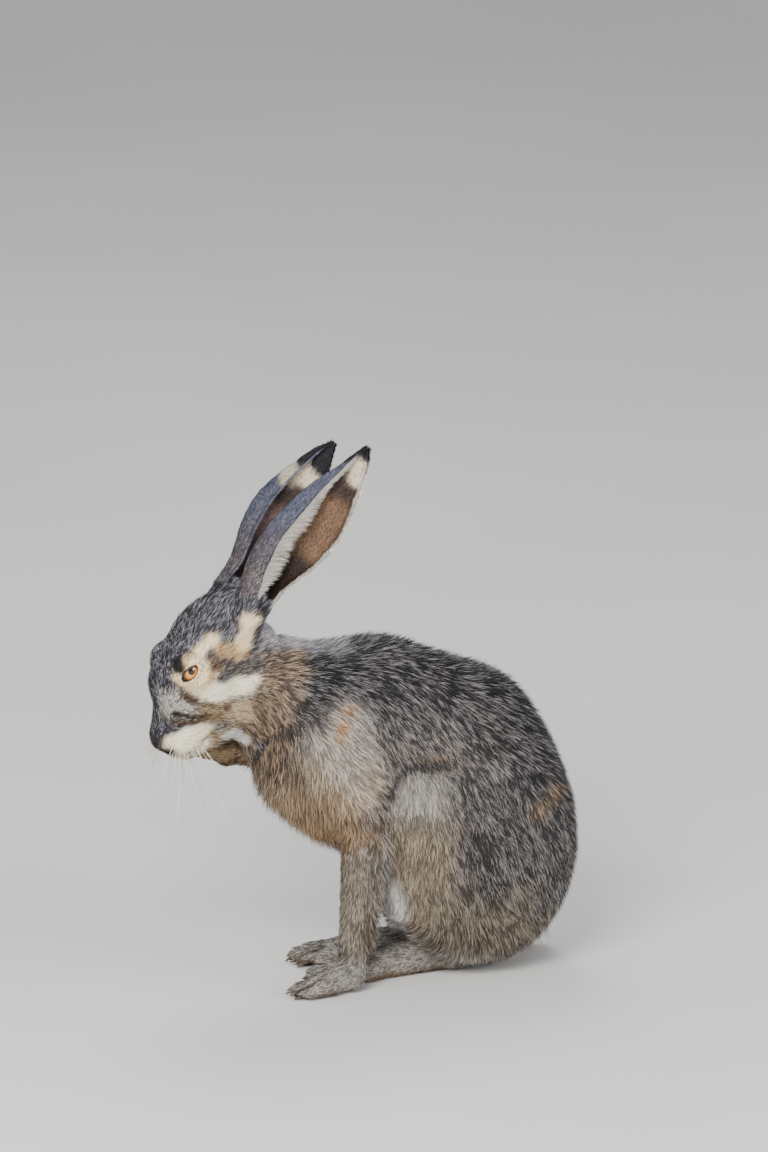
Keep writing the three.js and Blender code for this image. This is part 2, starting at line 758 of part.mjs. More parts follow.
const earSize = new THREE.CubicInterpolant(
  EAR_STATIONS.map(([s]) => s),
  EAR_STATIONS.flatMap(([, ...sizes]) => sizes),
  4,
);

function earSolid({ root, tip, wide: scale, start, hand }) {
  const from = new THREE.Vector3(...root);
  const axis = new THREE.Vector3(...tip).sub(from);
  const length = axis.length();
  axis.normalize();
  const front = new THREE.Vector3(...EAR_RIM);
  front.addScaledVector(axis, -front.dot(axis)).normalize();
  const back = new THREE.Vector3().crossVectors(axis, front).multiplyScalar(hand);
  const first = EAR_STATIONS[0][0];
  const points = [];
  for (let i = 0; i <= EAR_ROWS; i += 1) {
    const s = THREE.MathUtils.lerp(first, 1, i / EAR_ROWS);
    const [width, behind, depth, sweep] = earSize.evaluate(s);
    const wide = width * scale;
    for (let j = 0; j <= EAR_COLUMNS; j += 1) {
      const angle = radians(start - (sweep * j) / EAR_COLUMNS);
      for (const inset of [0, Math.min(EAR_THICKNESS, wide * 0.5)]) {
        points.push(
          ...from
            .clone()
            .addScaledVector(axis, s * length)
            .addScaledVector(back, Math.cos(angle) * (wide - inset) + behind)
            .addScaledVector(front, Math.sin(angle) * (wide * depth - inset * 0.8))
            .toArray(),
        );
      }
    }
  }
  const at = (i, j, inner) => (i * (EAR_COLUMNS + 1) + j) * 2 + inner;
  const faces = [];
  const patch = (a, b, c, d) => (hand > 0 ? faces.push(c, b, a, d, c, a) : faces.push(a, b, c, a, c, d));
  for (let i = 0; i < EAR_ROWS; i += 1) {
    for (let j = 0; j < EAR_COLUMNS; j += 1) {
      patch(at(i, j, 0), at(i + 1, j, 0), at(i + 1, j + 1, 0), at(i, j + 1, 0));
      patch(at(i, j, 1), at(i, j + 1, 1), at(i + 1, j + 1, 1), at(i + 1, j, 1));
    }
    const last = EAR_COLUMNS;
    patch(at(i, 0, 0), at(i, 0, 1), at(i + 1, 0, 1), at(i + 1, 0, 0));
    patch(at(i, last, 0), at(i + 1, last, 0), at(i + 1, last, 1), at(i, last, 1));
  }
  for (let j = 0; j < EAR_COLUMNS; j += 1) {
    const end = EAR_ROWS;
    patch(at(0, j, 0), at(0, j + 1, 0), at(0, j + 1, 1), at(0, j, 1));
    patch(at(end, j, 0), at(end, j, 1), at(end, j + 1, 1), at(end, j + 1, 0));
  }
  return meshOf(points, faces);
}

for (const [name, ear] of Object.entries(EARS)) {
  bodies[name] = earSolid(ear).subtract(grownHead);
}

// Meshes

const COLOURS = {
  torso: 0x75695b,
  neck: 0x7d7062,
  head: 0x8c8071,
  haunch_left: 0x80725f,
  haunch_right: 0x80725f,
  ear_left: 0x6f655a,
  ear_right: 0x6f655a,
  eye_left: 0x8a4f1e,
  eye_right: 0x8a4f1e,
  hind_foot_left: 0xc9bfae,
  hind_foot_right: 0xc9bfae,
  foreleg_left: 0xa8977d,
  foreleg_right: 0xa8865c,
  forepaw_left: 0xbcae98,
  forepaw_right: 0xb0875a,
  tail: 0xa59d92,
};

// A body's largest closed surface; what a cut left over is dropped.
function largest(body) {
  return body.decompose().sort((a, b) => b.volume() - a.volume())[0];
}

const hare = new THREE.Group();
hare.name = 'brown_hare';
for (const [name, body] of Object.entries(bodies)) {
  const { vertProperties, triVerts } = largest(body).getMesh();
  const geometry = new THREE.BufferGeometry();
  geometry.setAttribute('position', new THREE.BufferAttribute(vertProperties, 3));
  geometry.setIndex(new THREE.BufferAttribute(triVerts, 1));
  geometry.computeVertexNormals();
  const gloss = name.startsWith('eye') ? 0.1 : 0.9;
  const material = new THREE.MeshStandardMaterial({
    color: COLOURS[name],
    roughness: gloss,
    metalness: 0,
  });
  const mesh = new THREE.Mesh(geometry, material);
  mesh.name = name;
  hare.add(mesh);
}

// The origin is the middle of the box round the hare, on the floor
const bounds = new THREE.Box3().setFromObject(hare);
const middle = bounds.getCenter(new THREE.Vector3());
hare.position.set(-middle.x, -middle.y, -bounds.min.z);
hare.updateMatrixWorld(true);

export default hare;
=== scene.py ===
"""A brown hare in life size, dressed over its solids.

One skin replaces the solids of flesh and lies under them by the depth of the coat. Flat tapered
tufts of solid mesh lie over it. Eyeballs, lids, nostrils, whiskers and claws are pieces of their
own. Places are in millimetres in the hare's own frame: x toward the rump, y to its right, z up.
"""

import json
import logging
import math
from collections.abc import Iterator, Sequence
from dataclasses import dataclass, field
from enum import Enum

import bpy
import numpy as np
from mathutils import Matrix, Vector
from mathutils.bvhtree import BVHTree
from mathutils.kdtree import KDTree

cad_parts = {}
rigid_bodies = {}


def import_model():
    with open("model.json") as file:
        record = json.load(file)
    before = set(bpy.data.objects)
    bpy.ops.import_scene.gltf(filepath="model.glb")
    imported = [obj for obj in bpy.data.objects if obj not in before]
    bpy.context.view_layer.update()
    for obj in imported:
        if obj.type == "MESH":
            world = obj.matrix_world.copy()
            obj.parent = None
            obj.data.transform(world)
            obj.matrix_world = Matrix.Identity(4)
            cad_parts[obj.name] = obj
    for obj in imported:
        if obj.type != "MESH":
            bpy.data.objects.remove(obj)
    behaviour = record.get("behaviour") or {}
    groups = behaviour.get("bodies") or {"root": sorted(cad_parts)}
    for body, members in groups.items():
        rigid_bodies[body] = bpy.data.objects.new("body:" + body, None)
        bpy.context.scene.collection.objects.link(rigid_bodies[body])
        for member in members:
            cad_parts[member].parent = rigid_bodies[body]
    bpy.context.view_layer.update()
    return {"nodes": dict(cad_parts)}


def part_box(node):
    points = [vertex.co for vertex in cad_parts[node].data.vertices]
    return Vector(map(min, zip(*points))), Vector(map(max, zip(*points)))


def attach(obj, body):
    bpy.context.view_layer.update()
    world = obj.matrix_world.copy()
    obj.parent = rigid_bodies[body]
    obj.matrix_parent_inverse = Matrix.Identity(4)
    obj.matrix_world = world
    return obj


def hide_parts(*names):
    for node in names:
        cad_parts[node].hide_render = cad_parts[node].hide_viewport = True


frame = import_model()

LOG = logging.getLogger("hare")
MM = 0.001
BODY = "root"
TONE = "tone"
BAKE_MAP = "OFBake"
CHART_MAP = "Chart"
DISC_MAP = "Disc"

Pair = tuple[float, float]
Triple = tuple[float, float, float]


def unit(vectors: np.ndarray) -> np.ndarray:
    """Scale vectors to length one.

    Args:
        vectors: Vectors, one a row or a single one.

    Returns:
        The unit vectors, zero where the length was zero.
    """
    length = np.linalg.norm(vectors, axis=-1, keepdims=True)
    return vectors / np.maximum(length, 1e-12)


def smooth_step(low: float, high: float, values: np.ndarray) -> np.ndarray:
    """Ease from 0 at low to 1 at high.

    Args:
        low: Value where the ease starts.
        high: Value where it ends.
        values: Values to ease.

    Returns:
        The eased values, between 0 and 1.
    """
    t = np.clip((values - low) / (high - low), 0.0, 1.0)
    return t * t * (3 - 2 * t)


def linear(colour: Sequence[float]) -> np.ndarray:
    """Turn a colour of 0 to 255 as the eye sees it into linear light."""
    seen = np.asarray(colour, float) / 255
    return np.where(seen <= 0.04045, seen / 12.92, ((seen + 0.055) / 1.055) ** 2.4)


def laid(ways: np.ndarray, normals: np.ndarray) -> np.ndarray:
    """Take from each way its part along the normal, so that it lies along the skin."""
    return ways - normals * np.einsum("ij,ij->i", ways, normals)[:, None]


def ripple(points: np.ndarray, pitch: float, seed: int) -> np.ndarray:
    """Smooth noise of about -1 to 1 in space.

    Args:
        points: Places in millimetres.
        pitch: Width of a swell in millimetres.
        seed: Seed of the swells.

    Returns:
        One value for each place.
    """
    draw = np.random.default_rng(seed)
    ways = unit(draw.normal(size=(9, 3))) * draw.uniform(0.6, 1.5, (9, 1))
    phase = draw.uniform(0, 2 * math.pi, 9)
    waves = np.sin(points @ ways.T * (math.pi / pitch) + phase)
    return waves.sum(axis=1) / 3.6


def turned(rx: float, ry: float, rz: float) -> np.ndarray:
    """The matrix that turns about x, then y, then z, by degrees.

    Args:
        rx: Turn about x.
        ry: Turn about y.
        rz: Turn about z.

    Returns:
        The matrix, three rows of three.
    """
    turn = Matrix.Rotation(math.radians(rz), 3, "Z")
    turn = turn @ Matrix.Rotation(math.radians(ry), 3, "Y")
    return np.array(turn @ Matrix.Rotation(math.radians(rx), 3, "X"))


class Side(Enum):
    """The two sides of the hare, as the sign of y in the frame of its head."""

    LEFT = 1
    RIGHT = -1

    @property
    def word(self) -> str:
        """The side's name, as it ends the name of a piece."""
        return self.name.lower()


@dataclass(frozen=True)
class Head:
    """The frame of the head: x to the nose, y to the left, z to the brow."""

    at: Triple = (-150, 0, 235)
    nod: float = 50
    yaw: float = 9
    roll: float = -4

    @property
    def turn(self) -> np.ndarray:
        """The matrix from the head's frame to the hare's."""
        return turned(self.roll, self.nod, 180 + self.yaw)

    def place(self, points: Sequence[float] | np.ndarray) -> np.ndarray:
        """Take points from the head's frame to the hare's."""
        return np.asarray(points, float) @ self.turn.T + self.at

    def way(self, vectors: Sequence[float] | np.ndarray) -> np.ndarray:
        """Take directions from the head's frame to the hare's."""
        return np.asarray(vectors, float) @ self.turn.T

    def local(self, points: np.ndarray) -> np.ndarray:
        """Take points from the hare's frame to the head's."""
        return (points - np.array(self.at)) @ self.turn


HEAD = Head()
EYE_AT = (6.5, 15.0, 28.7)
EYE_RADIUS = 10.0


def eye_centre(side: Side) -> np.ndarray:
    """The middle of an eye in the hare's frame, in millimetres."""
    return HEAD.place((EYE_AT[0], EYE_AT[1] * side.value, EYE_AT[2]))


def near_eyes(points: np.ndarray, far: float, close: float) -> Iterator[np.ndarray]:
    """How near places are to each eye in turn, 0 at the far distance and 1 at the close one."""
    for side in Side:
        yield smooth_step(far, close, np.linalg.norm(points - eye_centre(side), axis=1))


def row_shift() -> np.ndarray:
    """What moves the hare's frame to the row's, in millimetres, from where the eyes are.

    Returns:
        The shift along x, y and z.
    """
    corners = [corner for name in ("eye_left", "eye_right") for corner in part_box(name)]
    middle = (np.min(corners, axis=0) + np.max(corners, axis=0)) / 2 / MM
    ends = np.array([eye_centre(side) for side in Side])
    return np.array([middle[0] - ends[:, 0].mean(), middle[1] - ends[:, 1].mean(), 0.0])


SHIFT = row_shift()


def metres(points: np.ndarray) -> np.ndarray:
    """Take places in the hare's frame to the row's frame, in metres."""
    return (np.asarray(points, float) + SHIFT) * MM


@dataclass(frozen=True)
class Ear:
    """The run of one ear, a channel rolled from a sheet, and where a place lies on it.

    Each station has a share of the length, the half width and the shift across in millimetres,
    the depth to width and the sweep in degrees. Brown gives where the dark of the inner face
    starts again and where it ends, as shares of the length.
    """

    node: str
    root: Triple
    tip: Triple
    hand: int
    wide: float
    start: float
    fringe: float
    brown: Pair
    opens: bool
    rim: Triple = (-0.3, -0.92, 0.26)
    inset: float = 1.4
    stations: tuple[tuple[float, ...], ...] = (
        (-0.12, 12, 0, 0.95, 300),
        (0, 13.7, 0, 0.92, 292),
        (0.17, 18.6, -3.6, 0.72, 272),
        (0.36, 24.4, -1, 0.48, 254),
        (0.54, 24.2, 2, 0.42, 250),
        (0.69, 19.6, 2.6, 0.42, 246),
        (0.81, 13.6, 3.6, 0.44, 240),
        (0.93, 7.6, 3.4, 0.5, 230),
        (1, 2.6, 2, 0.6, 220),
    )

    def axes(self) -> tuple[np.ndarray, np.ndarray, np.ndarray, float]:
        """The axis, the way the mouth of the channel faces, the way across, and the length.

        Returns:
            Three unit vectors and the length in millimetres.
        """
        run = np.array(self.tip, float) - self.root
        axis = unit(run)
        face = np.array(self.rim)
        face = unit(face - axis * (face @ axis))
        return axis, face, np.cross(axis, face) * self.hand, float(np.linalg.norm(run))

    def sizes(self, along: np.ndarray) -> tuple[np.ndarray, ...]:
        """The half width, the shift across, the depth to width and the sweep along the ear.

        Args:
            along: Shares of the length from root to tip.

        Returns:
            Four rows of values, one a share.
        """
        table = np.array(self.stations)
        width, behind, depth, sweep = (
            np.interp(along, table[:, 0], table[:, i]) for i in range(1, 5)
        )
        return width * self.wide, behind, depth, sweep

    def edge(
        self, along: np.ndarray, rear: np.ndarray
    ) -> tuple[np.ndarray, np.ndarray, np.ndarray]:
        """Places on the two free edges of the ear.

        Args:
            along: Shares of the length from root to tip.
            rear: Whether each place is on the rear edge.

        Returns:
            The places, the ways that lead off the edge, and the sheet's normals there.
        """
        axis, face, across, length = self.axes()
        width, behind, depth, sweep = self.sizes(along)
        angle = np.radians(np.where(rear, self.start, self.start - sweep))
        turn = np.where(rear, 1.0, -1.0)
        u, v = np.cos(angle), np.sin(angle)
        place = (
            np.array(self.root)
            + axis * (along * length)[:, None]
            + across * (u * (width - self.inset) + behind)[:, None]
            + face * (v * (width * depth - self.inset * 0.8))[:, None]
        )
        off = across * (-v * width * turn)[:, None] + face * (u * width * depth * turn)[:, None]
        out = across * (u * depth)[:, None] + face * v[:, None]
        return place, unit(off), unit(out)

    def chart(self, points: np.ndarray, normals: np.ndarray) -> tuple[np.ndarray, ...]:
        """Where places lie on the ear.

        Args:
            points: Places on the skin.
            normals: The skin's normals there.

        Returns:
            The share of the length from root to tip, the distance round the sheet from each of
            the two free edges in millimetres, and 1 on the inner face against 0 on the outer one.
        """
        axis, face, across, length = self.axes()
        from_root = points - np.array(self.root)
        along = from_root @ axis / length
        width, behind, depth, sweep = self.sizes(np.clip(along, -0.12, 1))
        u = (from_root @ across - behind) / width
        v = (from_root @ face) / (width * depth)
        angle = np.degrees(np.arctan2(v, u))
        arc = np.radians(1.0) * width * np.sqrt((v * v + (u * depth) ** 2).clip(0.1, 1.5))
        rear = ((self.start - angle) % 360) * arc
        front = ((angle - self.start + sweep) % 360) * arc
        radial = unit((u * depth)[:, None] * across + v[:, None] * face)
        inner = smooth_step(0.1, -0.1, np.einsum("ij,ij->i", radial, normals))
        return along, rear, front, inner


EARS = (
    Ear("ear_left", (-124, -24, 292), (-36, -28, 409), 1, 1.0, 8, 9.5, (0.66, 0.8), True),
    Ear("ear_right", (-127, 20, 291), (-41, 26, 397), -1, 1.04, 56, 2.5, (0.5, 0.66), False),
)
EAR_NODES = [ear.node for ear in EARS]
RAISED_LEG = ("foreleg_right", "forepaw_right")


@dataclass(frozen=True)
class Fur:
    """The colours of a stretch of coat, 0 to 255 as the eye sees them."""

    root: Triple
    dark: Triple
    pale: Triple
    share: float


@dataclass(frozen=True)
class Patch:
    """A marking: an oval or a band in the frame of the body or the head, on one side or both."""

    fur: Fur
    at: Triple
    reach: Triple
    to: Triple | None = None
    head: bool = False
    both: bool = True
    edge: float = 0.35
    wobble: float = 0.22

    def cover(self, points: np.ndarray, seed: int) -> np.ndarray:
        """How much of each place the marking covers.

        Args:
            points: Places in the hare's frame.
            seed: Seed of the swells that make the marking's edge ragged.

        Returns:
            Cover of 0 to 1.
        """
        place = HEAD.local(points) if self.head else points
        ends = [np.array(self.at, float), np.array(self.to or self.at, float)]
        ragged = self.wobble * ripple(points, 7.0 if self.head else 16.0, seed)
        best = np.zeros(len(points))
        for mirror in (1, -1) if self.both else (1,):
            flip = np.array([1, mirror, 1])
            start, end = ends[0] * flip, ends[1] * flip
            run = (end - start) / self.reach
            rel = (place - start) / self.reach
            t = np.clip(rel @ run / max(float(run @ run), 1e-9), 0, 1)
            away = np.linalg.norm(rel - t[:, None] * run, axis=1) + ragged
            best = np.maximum(best, smooth_step(1 + self.edge, 1 - self.edge, away))
        return best


class Coats:
    """The hare's furs by name."""

    BACK = Fur((42, 39, 40), (18, 17, 19), (150, 144, 144), 0.28)
    SHOULDER = Fur((148, 137, 126), (104, 95, 87), (214, 202, 188), 0.52)
    SIDE = Fur((74, 68, 65), (38, 34, 34), (162, 152, 144), 0.4)
    HAUNCH = Fur((56, 51, 49), (28, 26, 27), (144, 136, 129), 0.36)
    HAUNCH_LOW = Fur((86, 77, 66), (58, 51, 44), (156, 143, 124), 0.42)
    KNEE = Fur((143, 135, 127), (120, 112, 104), (190, 184, 176), 0.54)
    CURTAIN = Fur((122, 109, 91), (94, 82, 66), (178, 163, 140), 0.5)
    # Painted shadow: the dark arc where the flank fur overhangs the knee.
    CREASE = Fur((48, 42, 41), (29, 26, 27), (92, 82, 74), 0.3)
    RUFOUS = Fur((132, 110, 85), (97, 77, 57), (193, 167, 133), 0.5)
    ORANGE = Fur((130, 102, 72), (96, 72, 49), (186, 154, 114), 0.48)
    # Painted sunlight: orange patches of dappled sun on the shoulder.
    SPOT = Fur((160, 124, 80), (114, 82, 52), (218, 180, 132), 0.5)
    WHITE = Fur((212, 208, 203), (192, 187, 181), (240, 236, 230), 0.6)
    # Painted light: a pale strip of sky light and back light along the nape and the top of the
    # back.
    NAPE = Fur((132, 129, 133), (102, 99, 103), (184, 180, 182), 0.56)
    CROWN = Fur((66, 63, 68), (26, 24, 29), (166, 163, 169), 0.34)
    # Pale eye ring, also painted near white for the sunlight that falls on it.
    EYE_RING = Fur((248, 224, 178), (236, 206, 152), (255, 247, 220), 0.65)
    # Pale cheek band, also painted near white for the sunlight that falls on it.
    CHEEK = Fur((255, 247, 220), (250, 232, 194), (255, 253, 240), 0.7)
    TEMPLE = Fur((82, 73, 69), (42, 37, 36), (150, 138, 130), 0.34)
    MUZZLE = Fur((178, 166, 148), (56, 48, 45), (255, 251, 240), 0.66)
    # Pale whisker pad, also painted near white for the sunlight that falls on it.
    PAD = Fur((255, 244, 212), (247, 228, 186), (255, 253, 240), 0.65)
    NOSE = Fur((60, 54, 56), (38, 34, 38), (104, 98, 102), 0.3)
    STREAK = Fur((38, 30, 27), (16, 13, 14), (70, 56, 46), 0.12)
    BLOTCH = Fur((74, 56, 43), (36, 27, 24), (140, 112, 84), 0.28)
    KHAKI = Fur((122, 99, 70), (62, 46, 34), (188, 162, 122), 0.42)
    TAN = Fur((190, 156, 110), (146, 110, 70), (240, 214, 168), 0.55)
    ARM = Fur((150, 128, 98), (106, 86, 62), (198, 172, 134), 0.45)
    # Painted shade between the toes.
    SLIT = Fur((66, 56, 48), (40, 33, 29), (98, 86, 76), 0.2)
    # The inner brown of the far ear, darker: painted shade.
    EAR_DIM = Fur((112, 84, 80), (78, 56, 56), (150, 124, 118), 0.4)
    EAR_BAND = Fur((170, 163, 153), (128, 120, 112), (216, 210, 200), 0.55)
    JAW = Fur((168, 146, 114), (104, 82, 58), (226, 206, 170), 0.52)
    COLLAR = Fur((94, 80, 67), (47, 39, 37), (186, 158, 125), 0.37)
    LEG = Fur((114, 103, 90), (82, 73, 62), (170, 157, 141), 0.5)
    FOOT = Fur((124, 117, 109), (90, 84, 78), (192, 185, 174), 0.56)
    SOLE = Fur((120, 98, 74), (96, 76, 54), (150, 126, 98), 0.4)
    EAR_OUT = Fur((80, 83, 100), (45, 46, 62), (136, 138, 156), 0.36)
    EAR_BROWN = Fur((124, 94, 71), (84, 62, 48), (168, 131, 98), 0.45)
    EAR_DEEP = Fur((62, 46, 40), (38, 28, 26), (96, 72, 58), 0.3)
    EAR_CREAM = Fur((226, 208, 178), (206, 184, 150), (250, 240, 222), 0.7)
    EAR_TIP = Fur((28, 26, 30), (14, 13, 16), (52, 50, 58), 0.25)
    RIM = Fur((206, 199, 186), (176, 168, 156), (240, 236, 228), 0.65)
    TAIL_TOP = Fur((40, 36, 36), (20, 18, 19), (88, 82, 80), 0.2)


@dataclass
class Tones:
    """The furs of many places: the colours of root, dark tip and pale tip, and the pale share."""

    root: np.ndarray
    dark: np.ndarray
    pale: np.ndarray
    share: np.ndarray

    @classmethod
    def of(cls, fur: Fur, count: int) -> "Tones":
        """The same fur at every place."""
        rows = [np.tile(linear(c), (count, 1)) for c in (fur.root, fur.dark, fur.pale)]
        return cls(rows[0], rows[1], rows[2], np.full(count, fur.share))

    def lay(self, fur: Fur, cover: np.ndarray) -> None:
        """Lay another fur over the places it covers.

        Args:
            fur: The fur laid over.
            cover: How much of each place it covers, 0 to 1.
        """
        part = cover[:, None]
        for name in ("root", "dark", "pale"):
            held = getattr(self, name)
            setattr(self, name, held + (linear(getattr(fur, name)) - held) * part)
        self.share = self.share + (fur.share - self.share) * cover


@dataclass(frozen=True)
class Markings:
    """Every marking of the coat, from the broad furs of the body to the small ones of the face,
    among them patches of painted sunlight, sky light and shadow.

    A patch laid later covers those before it. Tail top gives where along x the tail turns dark,
    and neck where the marks of the face end.
    """

    tail_top: Pair = (112, 117)
    neck: Pair = (-78, -90)
    body: tuple[Patch, ...] = (
        Patch(Coats.SIDE, (-14, 52, 160), (72, 60, 46), edge=0.5),
        Patch(Coats.SHOULDER, (-66, 50, 182), (30, 50, 38), edge=0.4),
        Patch(Coats.HAUNCH, (44, 74, 86), (78, 50, 58), edge=0.5),
        Patch(Coats.HAUNCH_LOW, (36, 72, 38), (74, 60, 34), edge=0.6),
        Patch(Coats.RUFOUS, (-76, 22, 142), (38, 60, 34), edge=0.6),
        Patch(Coats.ORANGE, (-70, 34, 122), (30, 40, 13), edge=0.7),
        Patch(Coats.WHITE, (-14, 0, 50), (46, 36, 46), both=False, edge=0.6),
        Patch(Coats.CURTAIN, (-6, 66, 96), (24, 30, 44), edge=0.6),
        Patch(Coats.KNEE, (-10, 68, 151), (22, 40, 17), edge=0.6),
        Patch(Coats.CURTAIN, (-8, 68, 122), (20, 40, 14), edge=0.9),
        # Painted shadow along the crease where the flank fur overhangs the knee.
        Patch(Coats.CREASE, (-30, 56, 151), (3, 30, 3), to=(-13, 58, 170), edge=0.6),
        Patch(Coats.CREASE, (-13, 58, 170), (3, 30, 3), to=(15, 62, 170), edge=0.6),
        # Painted light: pale strip of sky light along the nape.
        Patch(Coats.NAPE, (-112, 0, 259), (15, 26, 19), to=(-58, 0, 264), both=False),
        # Painted sunlight: two small patches of dappled sun on the shoulder.
        Patch(Coats.SPOT, (-67, 54, 205), (5, 20, 8), edge=0.5, wobble=0.35),
        Patch(Coats.SPOT, (-57, 54, 216), (8, 20, 3.5), edge=0.5, wobble=0.35),
        # Painted sunlight: a faint orange streak of dappled sun on the rump, in the collar's fur.
        Patch(Coats.COLLAR, (82, 68, 133), (7, 20, 4.5), to=(100, 62, 144), edge=0.9, wobble=0.4),
        Patch(Coats.KHAKI, (8, 60, 176), (12, 20, 2.5), edge=0.9, wobble=0.4),
        Patch(Coats.COLLAR, (-110, 34, 214), (12, 26, 25), edge=0.9, wobble=0.4),
        Patch(Coats.COLLAR, (-108, 0, 190), (20, 50, 26), both=False, edge=0.6),
        Patch(Coats.LEG, (-50, 58, 70), (30, 26, 46), edge=0.3),
        Patch(Coats.FOOT, (-35, 57, 78), (6, 40, 44), edge=0.6),
        Patch(Coats.WHITE, (-26, 49, 80), (8, 14, 10), to=(-11, 47, 40), edge=0.5),
        Patch(Coats.FOOT, (-30, 30, 14), (90, 60, 17), edge=0.25),
        Patch(Coats.FOOT, (-92, 62, 8), (50, 30, 22), edge=0.3),
        Patch(Coats.SOLE, (0, 30, 0), (100, 60, 6), edge=0.5),
    )
    face: tuple[Patch, ...] = (
        Patch(Coats.COLLAR, (6, 0, -52), (38, 30, 24), head=True, both=False),
        Patch(Coats.COLLAR, (-34, 30, -22), (26, 30, 16), head=True, edge=0.5),
        Patch(Coats.COLLAR, (2, 34, -34), (24, 24, 15), head=True, edge=0.5),
        Patch(Coats.JAW, (26, 22, -2), (9, 16, 11), head=True, to=(9, 26, -23), edge=0.4),
        Patch(Coats.JAW, (36, 0, -26), (24, 24, 11), head=True, both=False, edge=0.4),
        Patch(Coats.KHAKI, (27, 21, -2), (4, 9, 4), head=True, to=(23, 20, -13), edge=0.5),
        Patch(Coats.WHITE, (28, 17, -31), (4.5, 12, 4), head=True, to=(22, 15, -42)),
        Patch(Coats.TEMPLE, (-6, 29, 18), (7, 12, 6.5), head=True, to=(-20, 33, -3)),
        # Cheek band: pale fur with painted sunlight on it.
        Patch(Coats.CHEEK, (17, 26, 18), (7.5, 14, 7.5), head=True, to=(9, 27, 2)),
        Patch(Coats.CHEEK, (9, 27, 1), (6.5, 14, 6.5), head=True, to=(-7, 31, -11)),
        Patch(Coats.CHEEK, (-7, 31, -11), (5, 14, 5), head=True, to=(-14, 34, -12)),
        Patch(Coats.TAN, (-16, 29, 22), (5, 12, 6), head=True, to=(-22, 31, 10), edge=0.5),
        Patch(Coats.TAN, (8, 25, 26), (15.5, 14, 13), head=True, edge=0.3),
        # Eye ring: pale fur with painted sunlight on it.
        Patch(Coats.EYE_RING, (8, 25, 28.5), (12.5, 14, 10.5), head=True, edge=0.25),
        Patch(Coats.EYE_RING, (-7, 24, 33.5), (4.5, 10, 4), head=True, to=(-18, 25, 30)),
        Patch(Coats.EYE_RING, (-29, 31, 12), (6, 12, 5.5), head=True, to=(-46, 35, 20.5)),
        # Painted light: pale strip of sky light along the nape.
        Patch(Coats.NAPE, (-118, 0, 266), (12, 24, 13), to=(-84, 0, 263), both=False),
        Patch(Coats.BLOTCH, (-5, 28, 18), (3.5, 8, 5), head=True, edge=0.5),
        Patch(Coats.TAN, (6, 22, 38), (5, 5, 3), head=True, both=False),
        Patch(Coats.STREAK, (9, 18, 41.5), (4.8, 5, 3.2), head=True, to=(12.5, 22, 38), both=False),
        Patch(Coats.STREAK, (11.5, -23, 37), (4.5, 4, 3), head=True, both=False),
        Patch(Coats.MUZZLE, (35, 14, 20), (11, 10, 10), head=True, edge=0.5),
        Patch(Coats.BLOTCH, (27, 21, 21), (3.5, 7, 2.5), head=True, to=(24.5, 23, 13.5)),
        # Whisker pad: pale fur with painted sunlight on it.
        Patch(Coats.PAD, (54, 14, -2), (9.5, 13, 8.5), head=True, to=(40, 17, -12), edge=0.25),
        Patch(Coats.PAD, (57, 0, -13), (9, 15, 8), head=True, to=(46, 0, -22), both=False),
        Patch(Coats.STREAK, (39, 16, 14.5), (1.7, 9, 1.5), head=True, to=(29.5, 20.6, -2.5)),
        Patch(Coats.BLOTCH, (45, 15, 11), (2, 9, 1.9), head=True, to=(33.5, 19, -4)),
        Patch(Coats.BLOTCH, (22, 24, 8), (1.5, 9, 1.5), head=True, to=(13, 24, -14)),
        Patch(Coats.NOSE, (62, 0, 6), (6, 8, 6.5), head=True, both=False),
    )

    def paint(self, points: np.ndarray, normals: np.ndarray, label: np.ndarray) -> Tones:
        """The furs at places on the skin.

        Args:
            points: Places in the hare's frame.
            normals: The skin's normals there.
            label: The node that each place belongs to.

        Returns:
            The furs of the places.
        """
        tones = Tones.of(Coats.BACK, len(points))
        on_head = (label == "head").astype(float)
        on_body = 1.0 - np.isin(label, EAR_NODES)
        for seed, patch in enumerate(self.body, 40):
            tones.lay(patch.fur, patch.cover(points, seed) * on_body * (1 - on_head))
        tones.lay(Coats.CROWN, on_head)
        near_head = on_body * smooth_step(*self.neck, points[:, 0])
        for seed, patch in enumerate(self.face, 90):
            tones.lay(patch.fur, patch.cover(points, seed) * near_head)
        for ear in EARS:
            self.paint_ear(ear, points, normals, (label == ear.node).astype(float), tones)
        tones.lay(Coats.ARM, np.isin(label, RAISED_LEG).astype(float))
        on_tail = (label == "tail").astype(float)
        tones.lay(Coats.WHITE, on_tail)
        tones.lay(Coats.TAIL_TOP, on_tail * smooth_step(*self.tail_top, points[:, 0]))
        return tones

    def paint_ear(
        self,
        ear: Ear,
        points: np.ndarray,
        normals: np.ndarray,
        mine: np.ndarray,
        tones: Tones,
    ) -> None:
        """Lay the furs of one ear.

        Args:
            ear: The ear.
            points: Places in the hare's frame.
            normals: The skin's normals there.
            mine: 1 at the places on this ear.
            tones: The furs to lay them over.
        """
        along, rear, front, inner = ear.chart(points, normals)
        wave = 0.03 * ripple(points, 9.0, 7)
        outer = 1 - inner
        ragged = 1 + 6 * wave
        place = along + wave
        low, high = ear.brown
        tones.lay(Coats.EAR_OUT, mine)
        tones.lay(Coats.COLLAR, mine * 0.5 * smooth_step(0.55, 0.15, place))
